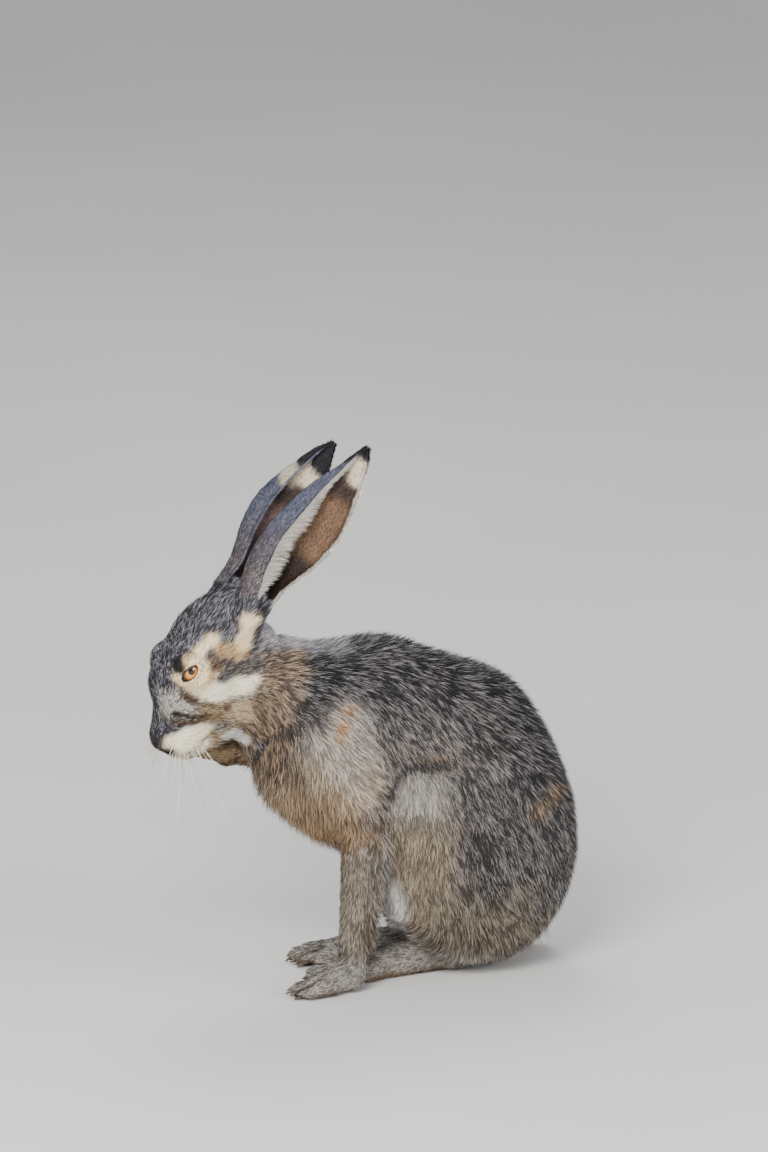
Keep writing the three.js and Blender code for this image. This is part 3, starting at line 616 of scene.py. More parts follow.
        # The far ear's inner face takes the darker copy of the brown: painted shade.
        tones.lay(Coats.EAR_BROWN if ear.opens else Coats.EAR_DIM, mine * inner)
        deep = smooth_step(0.4, 0.28, place) + smooth_step(low, low + 0.06, place)
        deep = deep + 0.8 * smooth_step(8, 4, rear * ragged)
        tones.lay(Coats.EAR_DEEP, mine * inner * np.clip(deep, 0, 1))
        cream = smooth_step(high, high + 0.03, place)
        cream *= smooth_step(high + 0.15, high + 0.12, place)
        tones.lay(Coats.EAR_CREAM, mine * cream * (inner if ear.opens else inner + 0.6 * outer))
        line = 1.4 + 1.6 * smooth_step(0.4, 0.7, along)
        edge = smooth_step(1.3, 0.7, (rear if ear.opens else front) * ragged / line)
        tones.lay(Coats.RIM if ear.opens else Coats.EAR_OUT, mine * edge)
        tones.lay(Coats.EAR_TIP, mine * smooth_step(high + 0.12, high + 0.15, place))
        tones.lay(Coats.EAR_TIP, mine * outer * smooth_step(0.82, 0.86, place))


@dataclass(frozen=True)
class Guide:
    """The way the hair lies near one place, in the frame of the body or the head."""

    at: Triple
    way: Triple
    reach: float = 34.0
    both: bool = True

    def ends(self) -> list[tuple[np.ndarray, np.ndarray]]:
        """The place and the way, once a side."""
        flips = [np.array([1, s, 1.0]) for s in ((1, -1) if self.both else (1,))]
        return [(np.array(self.at) * flip, unit(np.array(self.way) * flip)) for flip in flips]


@dataclass(frozen=True)
class Lie:
    """The lie of the coat, from nose to tail and down the legs.

    Raised gives the elbow and the wrist of the raised foreleg.
    """

    body: tuple[Guide, ...] = (
        Guide((-84, 0, 262), (1, 0, 0.0), both=False),
        Guide((-20, 0, 262), (1, 0, -0.15), both=False),
        Guide((50, 0, 236), (1, 0, -0.5), both=False),
        Guide((100, 0, 190), (0.6, 0, -1), both=False),
        Guide((128, 0, 110), (0.0, 0, -1), both=False),
        Guide((118, 0, 40), (-0.2, 0, -1), both=False),
        Guide((-40, 34, 240), (0.62, 0.25, -0.75), 28),
        Guide((20, 38, 226), (0.5, 0.2, -1), 28),
        Guide((80, 44, 186), (0.3, 0.1, -1), 30),
        Guide((-34, 52, 196), (0.42, 0.1, -0.9)),
        Guide((22, 56, 180), (0.36, 0.1, -0.95)),
        Guide((60, 74, 140), (0.24, 0, -0.97)),
        Guide((60, 78, 95), (0.28, 0, -0.96)),
        Guide((66, 72, 40), (0.34, 0, -0.94)),
        Guide((104, 60, 110), (0.1, 0, -1)),
        Guide((0, 70, 144), (0.0, 0.1, -1), 22),
        Guide((-14, 62, 100), (0.12, 0, -1), 24),
        Guide((-96, 0, 170), (0.25, 0, -1), 30, both=False),
        Guide((-84, 30, 176), (0.3, 0, -1), 26),
        Guide((-60, 50, 150), (0.3, 0, -0.95), 26),
        Guide((-66, 30, 122), (0.45, 0, -0.9), 22),
        Guide((-30, 0, 100), (0.6, 0, -0.8), 30, both=False),
        Guide((-100, 34, 222), (0.6, 0.1, -0.8), 22),
        Guide((-108, 0, 192), (0.6, 0, -0.8), 22, both=False),
        Guide((-46, 56, 110), (-0.05, 0, -1), 24),
        Guide((-56, 58, 60), (-0.08, 0, -1), 24),
        Guide((-60, 58, 20), (-0.5, 0, -0.7), 14),
        Guide((-88, 60, 6), (-1, 0, -0.15), 22),
        Guide((30, 26, 34), (-0.5, 0, -0.8), 18),
        Guide((-10, 28, 10), (-1, 0, -0.1), 30),
        Guide((-70, 28, 8), (-1, 0, -0.12), 26),
        Guide((107, 17, 36), (0.05, 0.1, -1), 18, both=False),
        Guide((60, 0, 6), (-0.6, 0, -0.3), 30, both=False),
    )
    face: tuple[Guide, ...] = (
        Guide((64, 0, 0), (-0.9, 0, 0.3), 12, both=False),
        Guide((40, 0, 22), (-1, 0, 0.3), 18, both=False),
        Guide((4, 0, 46), (-1, 0, 0.1), 22, both=False),
        Guide((-40, 6, 42), (-1, 0, -0.1), 22),
        Guide((50, 16, -6), (-0.8, 0.35, -0.25), 14),
        Guide((34, 18, 22), (-0.95, 0.2, 0.0), 10),
        Guide((40, 17, 6), (-0.6, 0.35, -0.65), 9),
        Guide((24, 23, 9), (-0.5, 0.4, -0.7), 9),
        Guide((20, 24, 34), (-0.9, 0.1, 0.45), 11),
        Guide((-8, 26, 38), (-0.95, 0.05, 0.1), 12),
        Guide((6, 29, 3), (-0.8, 0.2, -0.55), 11),
        Guide((-14, 31, -8), (-0.95, 0.1, -0.35), 16),
        Guide((-12, 30, 12), (-1, 0.1, 0.1), 14),
        Guide((-38, 33, 20), (-0.9, 0.1, 0.35), 16),
        Guide((20, 12, -38), (-0.9, 0.2, -0.5), 18),
        Guide((-40, 24, -20), (-0.8, 0.1, -0.6), 20),
    )
    raised: tuple[Triple, Triple] = ((-46, 42, 154), (-126, 20, 172))

    def at(self, points: np.ndarray, normals: np.ndarray, label: np.ndarray) -> np.ndarray:
        """The way the hair lies at places on the skin.

        Args:
            points: Places in the hare's frame.
            normals: The skin's normals there.
            label: The node that each place belongs to.

        Returns:
            Unit vectors along the skin.
        """
        ends = [(guide.reach, *end) for guide in self.body for end in guide.ends()]
        for guide in self.face:
            ends += [(guide.reach, HEAD.place(at), HEAD.way(way)) for at, way in guide.ends()]
        total = np.zeros_like(points)
        for reach, place, way in ends:
            square = ((points - place) ** 2).sum(axis=1) / reach**2
            total += np.exp(-np.minimum(square, 60))[:, None] * way
            total += (1e-6 / (1 + square))[:, None] * way
        for ear in EARS:
            total[label == ear.node] = ear.axes()[0]
        total[np.isin(label, RAISED_LEG)] = unit(np.array(self.raised[1]) - self.raised[0])
        along = laid(unit(total), normals)
        flat = np.linalg.norm(along, axis=1) < 0.05
        along[flat] = np.cross(normals[flat], (0.0, 1.0, 0.0))
        return unit(along)


@dataclass
class Sheet:
    """A triangle mesh as arrays, in the hare's frame."""

    points: np.ndarray
    faces: np.ndarray

    def crosses(self) -> np.ndarray:
        """The normal of each face, twice as long as its area."""
        a, b, c = (self.points[self.faces[:, i]] for i in range(3))
        return np.cross(b - a, c - a)

    def normals(self) -> np.ndarray:
        """The unit normal at each point.

        Returns:
            One unit vector a point.
        """
        cross = self.crosses()
        out = np.zeros_like(self.points)
        for corner in range(3):
            for axis in range(3):
                out[:, axis] += np.bincount(
                    self.faces[:, corner], cross[:, axis], minlength=len(self.points)
                )
        return unit(out)

    def tree(self) -> BVHTree:
        """The faces, ready to be searched."""
        return BVHTree.FromPolygons(self.points.tolist(), self.faces.tolist())

    def edges(self) -> np.ndarray:
        """Each edge once, as two point numbers."""
        pairs = np.concatenate([self.faces[:, [i, (i + 1) % 3]] for i in range(3)])
        return np.unique(np.sort(pairs, axis=1), axis=0)

    def relaxed(self, values: np.ndarray, rounds: int, share: np.ndarray | float) -> np.ndarray:
        """Values at the points, moved toward the mean of their neighbours.

        Args:
            values: One value or vector a point.
            rounds: How many times.
            share: How far toward the mean each time, 0 to 1, one value or one a point.

        Returns:
            The relaxed values.
        """
        pairs = self.edges()
        ends = np.concatenate([pairs[:, 0], pairs[:, 1]])
        others = np.concatenate([pairs[:, 1], pairs[:, 0]])
        count = np.maximum(np.bincount(ends, minlength=len(self.points)), 1)
        held = values.reshape(len(values), -1).astype(float)
        part = np.broadcast_to(np.asarray(share, float).reshape(-1, 1), (len(held), 1))
        for _ in range(rounds):
            mean = np.stack(
                [
                    np.bincount(ends, held[others, axis], minlength=len(self.points)) / count
                    for axis in range(held.shape[1])
                ],
                axis=1,
            )
            held = held + (mean - held) * part
        return held.reshape(values.shape)


def together(sheets: Sequence[Sheet]) -> Sheet:
    """Several meshes as one.

    Args:
        sheets: The meshes.

    Returns:
        One mesh, with their points and faces in order.
    """
    starts = np.cumsum([0] + [len(sheet.points) for sheet in sheets])
    return Sheet(
        np.concatenate([sheet.points for sheet in sheets]),
        np.concatenate([sheet.faces + start for sheet, start in zip(sheets, starts)]),
    )


def nearest(places: np.ndarray, points: np.ndarray) -> np.ndarray:
    """The number of the place nearest to each point.

    Args:
        places: The places to choose from.
        points: The points.

    Returns:
        One number of a place a point.
    """
    tree = KDTree(len(places))
    for number, place in enumerate(places.tolist()):
        tree.insert(place, number)
    tree.balance()
    return np.array([tree.find(point)[1] for point in points.tolist()])


def read_mesh(mesh: bpy.types.Mesh) -> Sheet:
    """A Blender mesh as arrays, with its quads split.

    Args:
        mesh: The mesh, in metres in the row's frame.

    Returns:
        The same shape in the hare's frame.
    """
    mesh.calc_loop_triangles()
    points = np.empty(len(mesh.vertices) * 3, np.float32)
    mesh.vertices.foreach_get("co", points)
    faces = np.empty(len(mesh.loop_triangles) * 3, np.int32)
    mesh.loop_triangles.foreach_get("vertices", faces)
    return Sheet(points.reshape(-1, 3).astype(float) / MM - SHIFT, faces.reshape(-1, 3))


def solid(node: str) -> Sheet:
    """The solid of a node, with the points that share a place joined.

    Args:
        node: Name of the node.

    Returns:
        Its shape.
    """
    sheet = read_mesh(frame["nodes"][node].data)
    keys = np.round(sheet.points * 1000).astype(np.int64)
    _, first, back = np.unique(keys, axis=0, return_index=True, return_inverse=True)
    faces = back.ravel()[sheet.faces]
    whole = (faces != np.roll(faces, 1, axis=1)).all(axis=1)
    return Sheet(sheet.points[first], faces[whole])


def write_mesh(name: str, sheet: Sheet) -> bpy.types.Mesh:
    """Make a smooth Blender mesh from arrays.

    Args:
        name: Name of the mesh.
        sheet: The shape in the hare's frame.

    Returns:
        The mesh, in metres in the row's frame.
    """
    mesh = bpy.data.meshes.new(name)
    count = len(sheet.faces)
    mesh.vertices.add(len(sheet.points))
    mesh.vertices.foreach_set("co", metres(sheet.points).astype(np.float32).ravel())
    mesh.loops.add(count * 3)
    mesh.loops.foreach_set("vertex_index", sheet.faces.astype(np.int32).ravel())
    mesh.polygons.add(count)
    mesh.polygons.foreach_set("loop_start", np.arange(0, count * 3, 3, dtype=np.int32))
    mesh.polygons.foreach_set("use_smooth", np.full(count, True))
    mesh.update(calc_edges=True)
    return mesh


def add_tone(mesh: bpy.types.Mesh, colours: np.ndarray) -> None:
    """Store one linear colour a point.

    Args:
        mesh: The mesh.
        colours: Rows of red, green and blue.
    """
    rows = np.concatenate([colours, np.ones((len(colours), 1))], axis=1)
    layer = mesh.color_attributes.new(name=TONE, type="FLOAT_COLOR", domain="POINT")
    layer.data.foreach_set("color", rows.astype(np.float32).ravel())


def linked(name: str, data: bpy.types.ID) -> bpy.types.Object:
    """Add a mesh, a lamp or a camera to the scene as an object.

    Args:
        name: Name of the object.
        data: What it shows.

    Returns:
        The object.
    """
    thing = bpy.data.objects.new(name, data)
    bpy.context.scene.collection.objects.link(thing)
    return thing


def place_piece(
    mesh: bpy.types.Mesh, material: bpy.types.Material, slot: str
) -> bpy.types.Object:
    """Add a mesh to the scene as a piece of the hare.

    Args:
        mesh: The mesh, whose name the piece takes.
        material: Its material.
        slot: Not used.

    Returns:
        The piece.
    """
    piece = linked(mesh.name, mesh)
    mesh.materials.append(material)
    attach(piece, BODY)
    LOG.info("%s: %d faces", piece.name, len(mesh.polygons))
    return piece


@dataclass(frozen=True)
class Hair:
    """The tufts on a stretch of coat: millimetres, degrees, and tufts a square millimetre."""

    depth: float
    length: float
    width: float
    lift: float
    density: float
    clump: float

    def row(self) -> tuple[float, ...]:
        """The sizes as one row of the table over the skin."""
        return (self.length, self.width, self.lift, self.density)


LENGTH, WIDTH, LIFT, DENSITY = range(4)


class Region(Enum):
    """The stretches of the hare: the nodes of flesh in each, its slot and its tufts."""

    TORSO = (("torso",), "coat_body", Hair(7.0, 12.5, 0.62, 31, 1.6, 1.6))
    HAUNCH = (("haunch_left", "haunch_right"), "coat_body", Hair(7.0, 12.0, 0.62, 30, 1.6, 1.6))
    NECK = (("neck",), "coat_body", Hair(6.0, 11.5, 0.65, 30, 2.2, 1.9))
    HEAD = (("head",), "coat_head", Hair(1.9, 6.0, 0.52, 23, 3.1, 1.05))
    EARS = (("ear_left", "ear_right"), "coat_ears", Hair(0.4, 3.6, 0.42, 13, 3.3, 0.0))
    LEGS = (("foreleg_left", "foreleg_right"), "coat_legs", Hair(3.0, 7.5, 0.7, 22, 2.2, 1.4))
    PAWS = (("forepaw_left", "forepaw_right"), "coat_feet", Hair(1.3, 3.8, 0.5, 17, 3.4, 1.0))
    FEET = (("hind_foot_left", "hind_foot_right"), "coat_feet", Hair(1.5, 4.6, 0.55, 18, 2.9, 1.1))
    TAIL = (("tail",), "coat_tail", Hair(6.0, 13.0, 0.9, 34, 1.6, 2.0))

    @property
    def nodes(self) -> tuple[str, ...]:
        """The nodes of flesh in this stretch."""
        return self.value[0]

    @property
    def slot(self) -> str:
        """The record's slot of this stretch."""
        return self.value[1]

    @property
    def hair(self) -> Hair:
        """The tufts of this stretch."""
        return self.value[2]


FLESH = [node for region in Region for node in region.nodes]


@dataclass
class Skin:
    """The one skin under the coat, from the solids of flesh to the mesh that shows.

    Close is how far the solids grow to meet, toe_groove how deep the gaps between the toes lie,
    and toe_lines where they lie across a foot, as shares of its width.
    """

    close: float = 0.65
    toe_groove: float = 1.7
    toe_lines: Triple = (-0.24, 0.0, 0.235)
    voxel: float = 1.25
    faces: int = 150000
    soft_rounds: int = 34
    firm_rounds: int = 3
    sheet: Sheet = field(init=False)
    label: np.ndarray = field(init=False)
    hair: np.ndarray = field(init=False)
    hollow: np.ndarray = field(init=False)
    lie: np.ndarray = field(init=False)
    tones: Tones = field(init=False)

    def make(self) -> "Skin":
        """Join the solids, draw the skin in under the coat, and mark it.

        Returns:
            The skin itself.
        """
        solids = {name: solid(name) for name in FLESH}
        joined = self.one_surface(list(solids.values()))
        label = self.nearest_node(joined.points, solids)
        soft = np.isin(label, [*Region.TORSO.nodes, *Region.HAUNCH.nodes, *Region.NECK.nodes])
        ear = np.isin(label, EAR_NODES)
        joined.points = joined.relaxed(joined.points, self.firm_rounds, np.where(ear, 0.35, 0.6))
        share = joined.relaxed(soft.astype(float), 12, 0.6)
        joined.points = joined.relaxed(joined.points, self.soft_rounds, 0.65 * share)
        normals = joined.relaxed(joined.normals(), 2, np.where(ear, 0.2, 0.6))
        depth = self.depth_at(joined, label) + self.toe_groove * self.gaps(joined.points, label)
        joined.points = joined.points - unit(normals) * depth[:, None]
        joined.points[:, 2] = np.maximum(joined.points[:, 2], 0.4)
        ratio = min(1.0, self.faces / len(joined.faces))
        self.sheet = self.through(write_mesh("thinned", joined), "DECIMATE", {"ratio": ratio})
        self.label = label[nearest(joined.points, self.sheet.points)]
        self.hollow = self.gaps(self.sheet.points, self.label)
        self.hair = self.hair_at(self.sheet, self.label)
        self.hair[:, LENGTH] *= 1 - 0.45 * self.hollow
        normals = self.sheet.normals()
        self.lie = Lie().at(self.sheet.points, normals, self.label)
        self.tones = Markings().paint(self.sheet.points, normals, self.label)
        # Painted shade: darken the gaps between the toes.
        self.tones.lay(Coats.SLIT, 0.95 * self.hollow)
        return self

    def gaps(self, points: np.ndarray, label: np.ndarray) -> np.ndarray:
        """How far each place lies in the gap between two toes, 0 to 1.

        Args:
            points: Places in the hare's frame.
            label: The node that each place belongs to.

        Returns:
            One value a place.
        """
        out = np.zeros(len(points))
        for foot in Region.PAWS.nodes + Region.FEET.nodes:
            at = points[label == foot]
            back = at[:, 0] - at[:, 0].min()
            wide = at[back < 26, 1]
            share = (at[:, 1] - wide.min()) / np.ptp(wide) - 0.5
            lines = np.outer(1 - 0.013 * back, self.toe_lines)
            away = np.abs(share[:, None] - lines).min(axis=1) * np.ptp(wide)
            out[label == foot] = smooth_step(2.3, 0.9, away) * smooth_step(29, 19, back)
        return out

    def one_surface(self, solids: list[Sheet]) -> Sheet:
        """Grow the solids over the gaps between them and draw one surface round all of them.

        Args:
            solids: The solids of flesh.

        Returns:
            The surface, without closed pockets inside it.
        """
        grown = [Sheet(one.points + one.normals() * self.close, one.faces) for one in solids]
        remesh = {"mode": "VOXEL", "voxel_size": self.voxel * MM}
        mesh = write_mesh("joined", together(grown))
        return self.outermost(self.through(mesh, "REMESH", remesh))

    @staticmethod
    def through(mesh: bpy.types.Mesh, kind: str, settings: dict[str, object]) -> Sheet:
        """Pass a mesh through one modifier.

        Args:
            mesh: The mesh, which is used up.
            kind: The modifier's type.
            settings: The modifier's settings.

        Returns:
            The changed shape.
        """
        holder = linked("holder", mesh)
        modifier = holder.modifiers.new("pass", kind)
        for name, value in settings.items():
            setattr(modifier, name, value)
        graph = bpy.context.evaluated_depsgraph_get()
        changed = bpy.data.meshes.new_from_object(holder.evaluated_get(graph))
        sheet = read_mesh(changed)
        bpy.data.objects.remove(holder)
        bpy.data.meshes.remove(mesh)
        bpy.data.meshes.remove(changed)
        return sheet

    @staticmethod
    def outermost(sheet: Sheet) -> Sheet:
        """Keep the largest connected part of a mesh.

        Args:
            sheet: The mesh.

        Returns:
            Its largest part.
        """
        group = np.arange(len(sheet.points))
        pairs = sheet.edges()
        while True:
            low = np.minimum(group[pairs[:, 0]], group[pairs[:, 1]])
            before = group.copy()
            np.minimum.at(group, pairs[:, 0], low)
            np.minimum.at(group, pairs[:, 1], low)
            group = group[group]
            if np.array_equal(before, group):
                break
        names, counts = np.unique(group, return_counts=True)
        kept = group == names[counts.argmax()]
        number = np.cumsum(kept) - 1
        return Sheet(sheet.points[kept], number[sheet.faces[kept[sheet.faces[:, 0]]]])

    @staticmethod
    def nearest_node(points: np.ndarray, solids: dict[str, Sheet]) -> np.ndarray:
        """The name of the solid nearest to each place.

        Args:
            points: Places in the hare's frame.
            solids: The solids by name.

        Returns:
            One name a place.
        """
        names = np.repeat(list(solids), [len(sheet.faces) for sheet in solids.values()])
        tree = together(list(solids.values())).tree()
        return names[[tree.find_nearest(place)[2] for place in points.tolist()]]

    def depth_at(self, sheet: Sheet, label: np.ndarray) -> np.ndarray:
        """How deep the skin lies under the tips of the coat, thin near the eyes and the nose.

        Args:
            sheet: The surface over the coat.
            label: The node that each point belongs to.

        Returns:
            One depth a point, in millimetres.
        """
        depth = np.zeros(len(label))
        for region in Region:
            depth[np.isin(label, region.nodes)] = region.hair.depth
        depth = sheet.relaxed(depth, 10, 0.6)
        depth[np.isin(label, EAR_NODES)] = Region.EARS.hair.depth
        depth = sheet.relaxed(depth, 2, 0.5) + self.close
        on_head = label == "head"
        for near in near_eyes(sheet.points, 16.5, 12.5):
            depth = depth + (1.0 - depth) * near * on_head
        slim = smooth_step(14, 34, HEAD.local(sheet.points)[:, 0]) * on_head
        depth = depth + (np.minimum(depth, 1.5) - depth) * slim
        nose = np.linalg.norm(sheet.points - HEAD.place((60, 0, 2)), axis=1)
        return depth + (1.2 - depth) * smooth_step(16, 9, nose) * on_head

    @staticmethod
    def hair_at(sheet: Sheet, label: np.ndarray) -> np.ndarray:
        """The tufts' sizes over the skin, a row of length, width, lift and density a point.

        Args:
            sheet: The skin.
            label: The node that each point belongs to.

        Returns:
            The rows, eased from region to region.
        """
        rows = np.zeros((len(label), 4))
        for region in Region:
            rows[np.isin(label, region.nodes)] = region.hair.row()
        rows = sheet.relaxed(rows, 8, 0.6)
        ear = np.isin(label, EAR_NODES)
        rows[ear] = 0.25 * rows[ear] + 0.75 * np.array(Region.EARS.hair.row())
        head = HEAD.local(sheet.points)
        on_head = (label == "head").astype(float)
        muzzle = smooth_step(22, 44, head[:, 0]) * on_head
        rows[:, LENGTH] *= 1 - 0.4 * muzzle
        rows[:, WIDTH] *= 1 - 0.2 * muzzle
        back = smooth_step(-8, -30, head[:, 0]) * on_head
        rows[:, LENGTH] *= 1 + 0.35 * back
        under = smooth_step(-16, -34, head[:, 2]) * on_head
        rows[:, LENGTH] *= 1 + 0.3 * under
        for near in near_eyes(sheet.points, 24, 13):
            near = near * on_head
            rows[:, LENGTH] *= 1 - 0.5 * near
            rows[:, LIFT] *= 1 - 0.45 * near
            rows[:, DENSITY] *= 1 + 0.5 * near
        x, _, z = sheet.points.T
        chest = smooth_step(-40, -70, x) * smooth_step(190, 150, z) * (label == "torso")
        rows[:, LENGTH] *= 1 + 0.45 * chest
        rows[:, LIFT] *= 1 + 0.25 * chest
        behind = smooth_step(1, 8, x + 43 + 0.12 * (132 - z)) * smooth_step(26, 50, z)
        behind *= label == "foreleg_left"
        rows[:, LENGTH] *= 1 + 1.1 * behind
        rows[:, LIFT] *= 1 + 0.5 * behind
        return rows

    def piece(self, material: bpy.types.Material) -> bpy.types.Object:
        """Place the skin, which stands for every node of flesh.

        Args:
            material: The skin's material.

        Returns:
            The piece.
        """
        mesh = write_mesh("skin", self.sheet)
        add_tone(mesh, self.tones.root * 0.75 + self.tones.dark * 0.1)
        piece = place_piece(mesh, material, Region.TORSO.slot)
        unwrap(piece)
        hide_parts(*FLESH)
        return piece


def unwrap(piece: bpy.types.Object, name: str = BAKE_MAP) -> None:
    """Unwrap a mesh by its own shape.

    Args:
        piece: The object whose mesh is unwrapped.
        name: Name of the map.
    """
    piece.data.uv_layers.new(name=name)
    for other in bpy.context.view_layer.objects:
        other.select_set(False)
    piece.select_set(True)
    bpy.context.view_layer.objects.active = piece
    bpy.ops.object.mode_set(mode="EDIT")
    bpy.ops.mesh.select_all(action="SELECT")
    bpy.ops.uv.smart_project(angle_limit=math.radians(70), island_margin=0.002)
    bpy.ops.object.mode_set(mode="OBJECT")
    piece.select_set(False)


@dataclass
class Tufts:
    """Roots of tufts and how each one grows, in millimetres and degrees."""

    root: np.ndarray
    normal: np.ndarray
    along: np.ndarray
    length: np.ndarray
    width: np.ndarray
    lift: np.ndarray
    colour: np.ndarray
    uv: np.ndarray

    def only(self, keep: np.ndarray) -> "Tufts":
        """The tufts that a mask keeps."""
        return Tufts(*(values[keep] for values in vars(self).values()))

    @classmethod
    def joined(cls, parts: "Sequence[Tufts]") -> "Tufts":
        """Several lots of tufts as one."""
        return cls(*map(np.concatenate, zip(*(vars(part).values() for part in parts))))


@dataclass
class Coat:
    """The coat of tufts on the skin.

    Most is the largest number of tufts in a piece. Sweep and twist are how far the lie and the
    flat of a tuft swing by chance, and bow is how far it bends over, in degrees. Patch is the
    width of a tuft's patch on the map. Lengths, widths and lifts are the shares of a region's
    sizes that a tuft may have, and pulls how far its tip may go to the tip of its clump's leader.
    In a clump, alike is how much a tuft's chance of being pale is its leader's. Edge hairs is
    how many tufts the fringe of an ear has, and rear share how many of them are on its rear edge.
    """

    skin: Skin
    seed: int = 11
    most: int = 62000
    sweep: float = 12.0
    twist: float = 24.0
    bow: float = 17.0
    patch: float = 0.003
    lengths: Pair = (0.72, 1.22)
    widths: Pair = (0.75, 1.2)
    lifts: Pair = (0.6, 1.35)
    pulls: Pair = (0.2, 0.75)
    alike: float = 0.62
    edge_hairs: int = 4200
    rear_share: float = 0.36

    def unwrapped(self, faces: np.ndarray) -> np.ndarray:
        """Unwrap some faces of the skin by their own shape.

        Args:
            faces: Numbers of faces.

        Returns:
            The place on the map of each corner of each face.
        """
        used, index = np.unique(self.skin.sheet.faces[faces], return_inverse=True)
        part = Sheet(self.skin.sheet.points[used], index.reshape(-1, 3))
        piece = linked("unwrapped", write_mesh("unwrapped", part))
        unwrap(piece, CHART_MAP)
        spots = np.empty(len(faces) * 6, np.float32)
        piece.data.uv_layers[CHART_MAP].data.foreach_get("uv", spots)
        mesh = piece.data
        bpy.data.objects.remove(piece)
        bpy.data.meshes.remove(mesh)
        return spots.reshape(-1, 3, 2).astype(float)

    def grown(self, region: Region) -> Tufts:
        """Set tufts over a region of the skin.

        Args:
            region: The region.

        Returns:
            Its tufts.
        """
        draw = np.random.default_rng(self.seed + list(Region).index(region))
        sheet, hair = self.skin.sheet, self.skin.hair
        faces = np.flatnonzero(np.isin(self.skin.label[sheet.faces[:, 0]], region.nodes))
        charts = self.unwrapped(faces)
        corners = sheet.faces[faces]
        area = np.linalg.norm(Sheet(sheet.points, corners).crosses(), axis=1) / 2
        wanted = area * hair[corners, DENSITY].mean(axis=1)
        count = np.floor(wanted + draw.random(len(wanted))).astype(int)
        picked = np.repeat(np.arange(len(faces)), count)
        share = draw.dirichlet((1, 1, 1), len(picked))
        rows = corners[picked]

        def at(values: np.ndarray) -> np.ndarray:
            """Values of the points carried to the roots.

            Args:
                values: One value or vector a point.

            Returns:
                One value or vector a root.
            """
            if values.ndim == 1:
                return (values[rows] * share).sum(axis=1)
            return np.einsum("ijk,ij->ik", values[rows], share)

        normal = unit(at(sheet.normals()))
        root, sizes = at(sheet.points), at(hair)
        along = unit(at(self.skin.lie))
        along = self.swayed(root, normal, along, draw)
        length = sizes[:, LENGTH] * draw.uniform(*self.lengths, len(root))
        width = sizes[:, WIDTH] * draw.uniform(*self.widths, len(root))
        lift = sizes[:, LIFT] * draw.uniform(*self.lifts, len(root))
        leader = self.leaders(root, region.hair.clump**2 * region.hair.density, draw)
        tip = root + along * length[:, None]
        pull = (tip[leader] - tip) * draw.uniform(*self.pulls, len(root))[:, None]
        along = unit(laid(unit(tip + pull - root), normal))
        led = draw.random(len(root))[leader] * self.alike
        chance = np.argsort(np.argsort(led + draw.random(len(root)) * (1 - self.alike)))
        tones = self.skin.tones
        furs = Tones(at(tones.root), at(tones.dark), at(tones.pale), at(tones.share))
        colour = self.coloured(root, furs, chance / len(root), draw)
        spots = np.einsum("ijk,ij->ik", charts[picked], share)
        tufts = Tufts(root, normal, along, length, width, lift, colour, spots)
        return tufts.only(self.clear(tufts, self.skin.label[rows[:, 0]]))

    @staticmethod
    def leaders(root: np.ndarray, size: float, draw: np.random.Generator) -> np.ndarray:
        """Gather tufts in clumps.

        Args:
            root: The roots.
            size: How many tufts are in a clump.
            draw: Source of chance.

        Returns:
            The number of the tuft that leads each tuft's clump.
        """
        heads = draw.permutation(len(root))[: max(1, round(len(root) / max(size, 1)))]
        return heads[nearest(root[heads], root)]

    def swayed(
        self, root: np.ndarray, normal: np.ndarray, along: np.ndarray, draw: np.random.Generator
    ) -> np.ndarray:
        """Sway the lie in swirls and by chance.

        Args:
            root: The roots.
            normal: The skin's normals there.
            along: The lie there.
            draw: Source of chance.

        Returns:
            The swayed lie.
        """
        angle = draw.normal(0, self.sweep, len(root)) + 8 * ripple(root, 17, 3)
        angle = np.radians(angle + 5 * ripple(root, 6, 4))
        side = np.cross(normal, along)
        return unit(along * np.cos(angle)[:, None] + side * np.sin(angle)[:, None])

    @staticmethod
    def coloured(
        root: np.ndarray, furs: Tones, chance: np.ndarray, draw: np.random.Generator
    ) -> np.ndarray:
        """Colour tufts at root, middle and tip, each with a pale or a dark tip.

        Args:
            root: The roots.
            furs: The furs there.
            chance: What picks pale or dark, 0 to 1 a tuft.
            draw: Source of chance.

        Returns:
            Three colours a tuft.
        """
        pale = chance < furs.share + 0.12 * ripple(root, 8, 5)
        part = pale[:, None]
        tip = np.where(part, furs.pale, furs.dark)
        mixed = np.where(part, furs.dark, furs.root) * 0.6
        middle = mixed + np.where(part, furs.pale, furs.dark) * 0.4
        bright = (1 + 0.1 * draw.normal(size=len(root)) + 0.07 * ripple(root, 11, 6))[:, None]
        bright = np.clip(bright, 0.65, 1.4)
        return np.stack([furs.root * 0.7, middle * bright, tip * bright], axis=1)

    @staticmethod
    def clear(tufts: Tufts, label: np.ndarray) -> np.ndarray:
        """Which tufts stay clear of the eyes, the nostrils and the mouth.

        Args:
            tufts: The tufts.
            label: The node under each root.

        Returns:
            A mask of the tufts to keep.
        """
        keep = np.ones(len(tufts.root), bool)
        for side in Side:
            eye = Eye(side)
            for part in (0.0, 0.5, 1.0):
                place = tufts.root + tufts.along * (tufts.length * part)[:, None]
                keep &= eye.outside(place, 1.3 if part == 0 else 0.4)
        head = HEAD.local(tufts.root)
        on_head = label == "head"
        return keep & ~(on_head & (Mouth().on_line(head, 1.0) | Nose().hairless(head)))

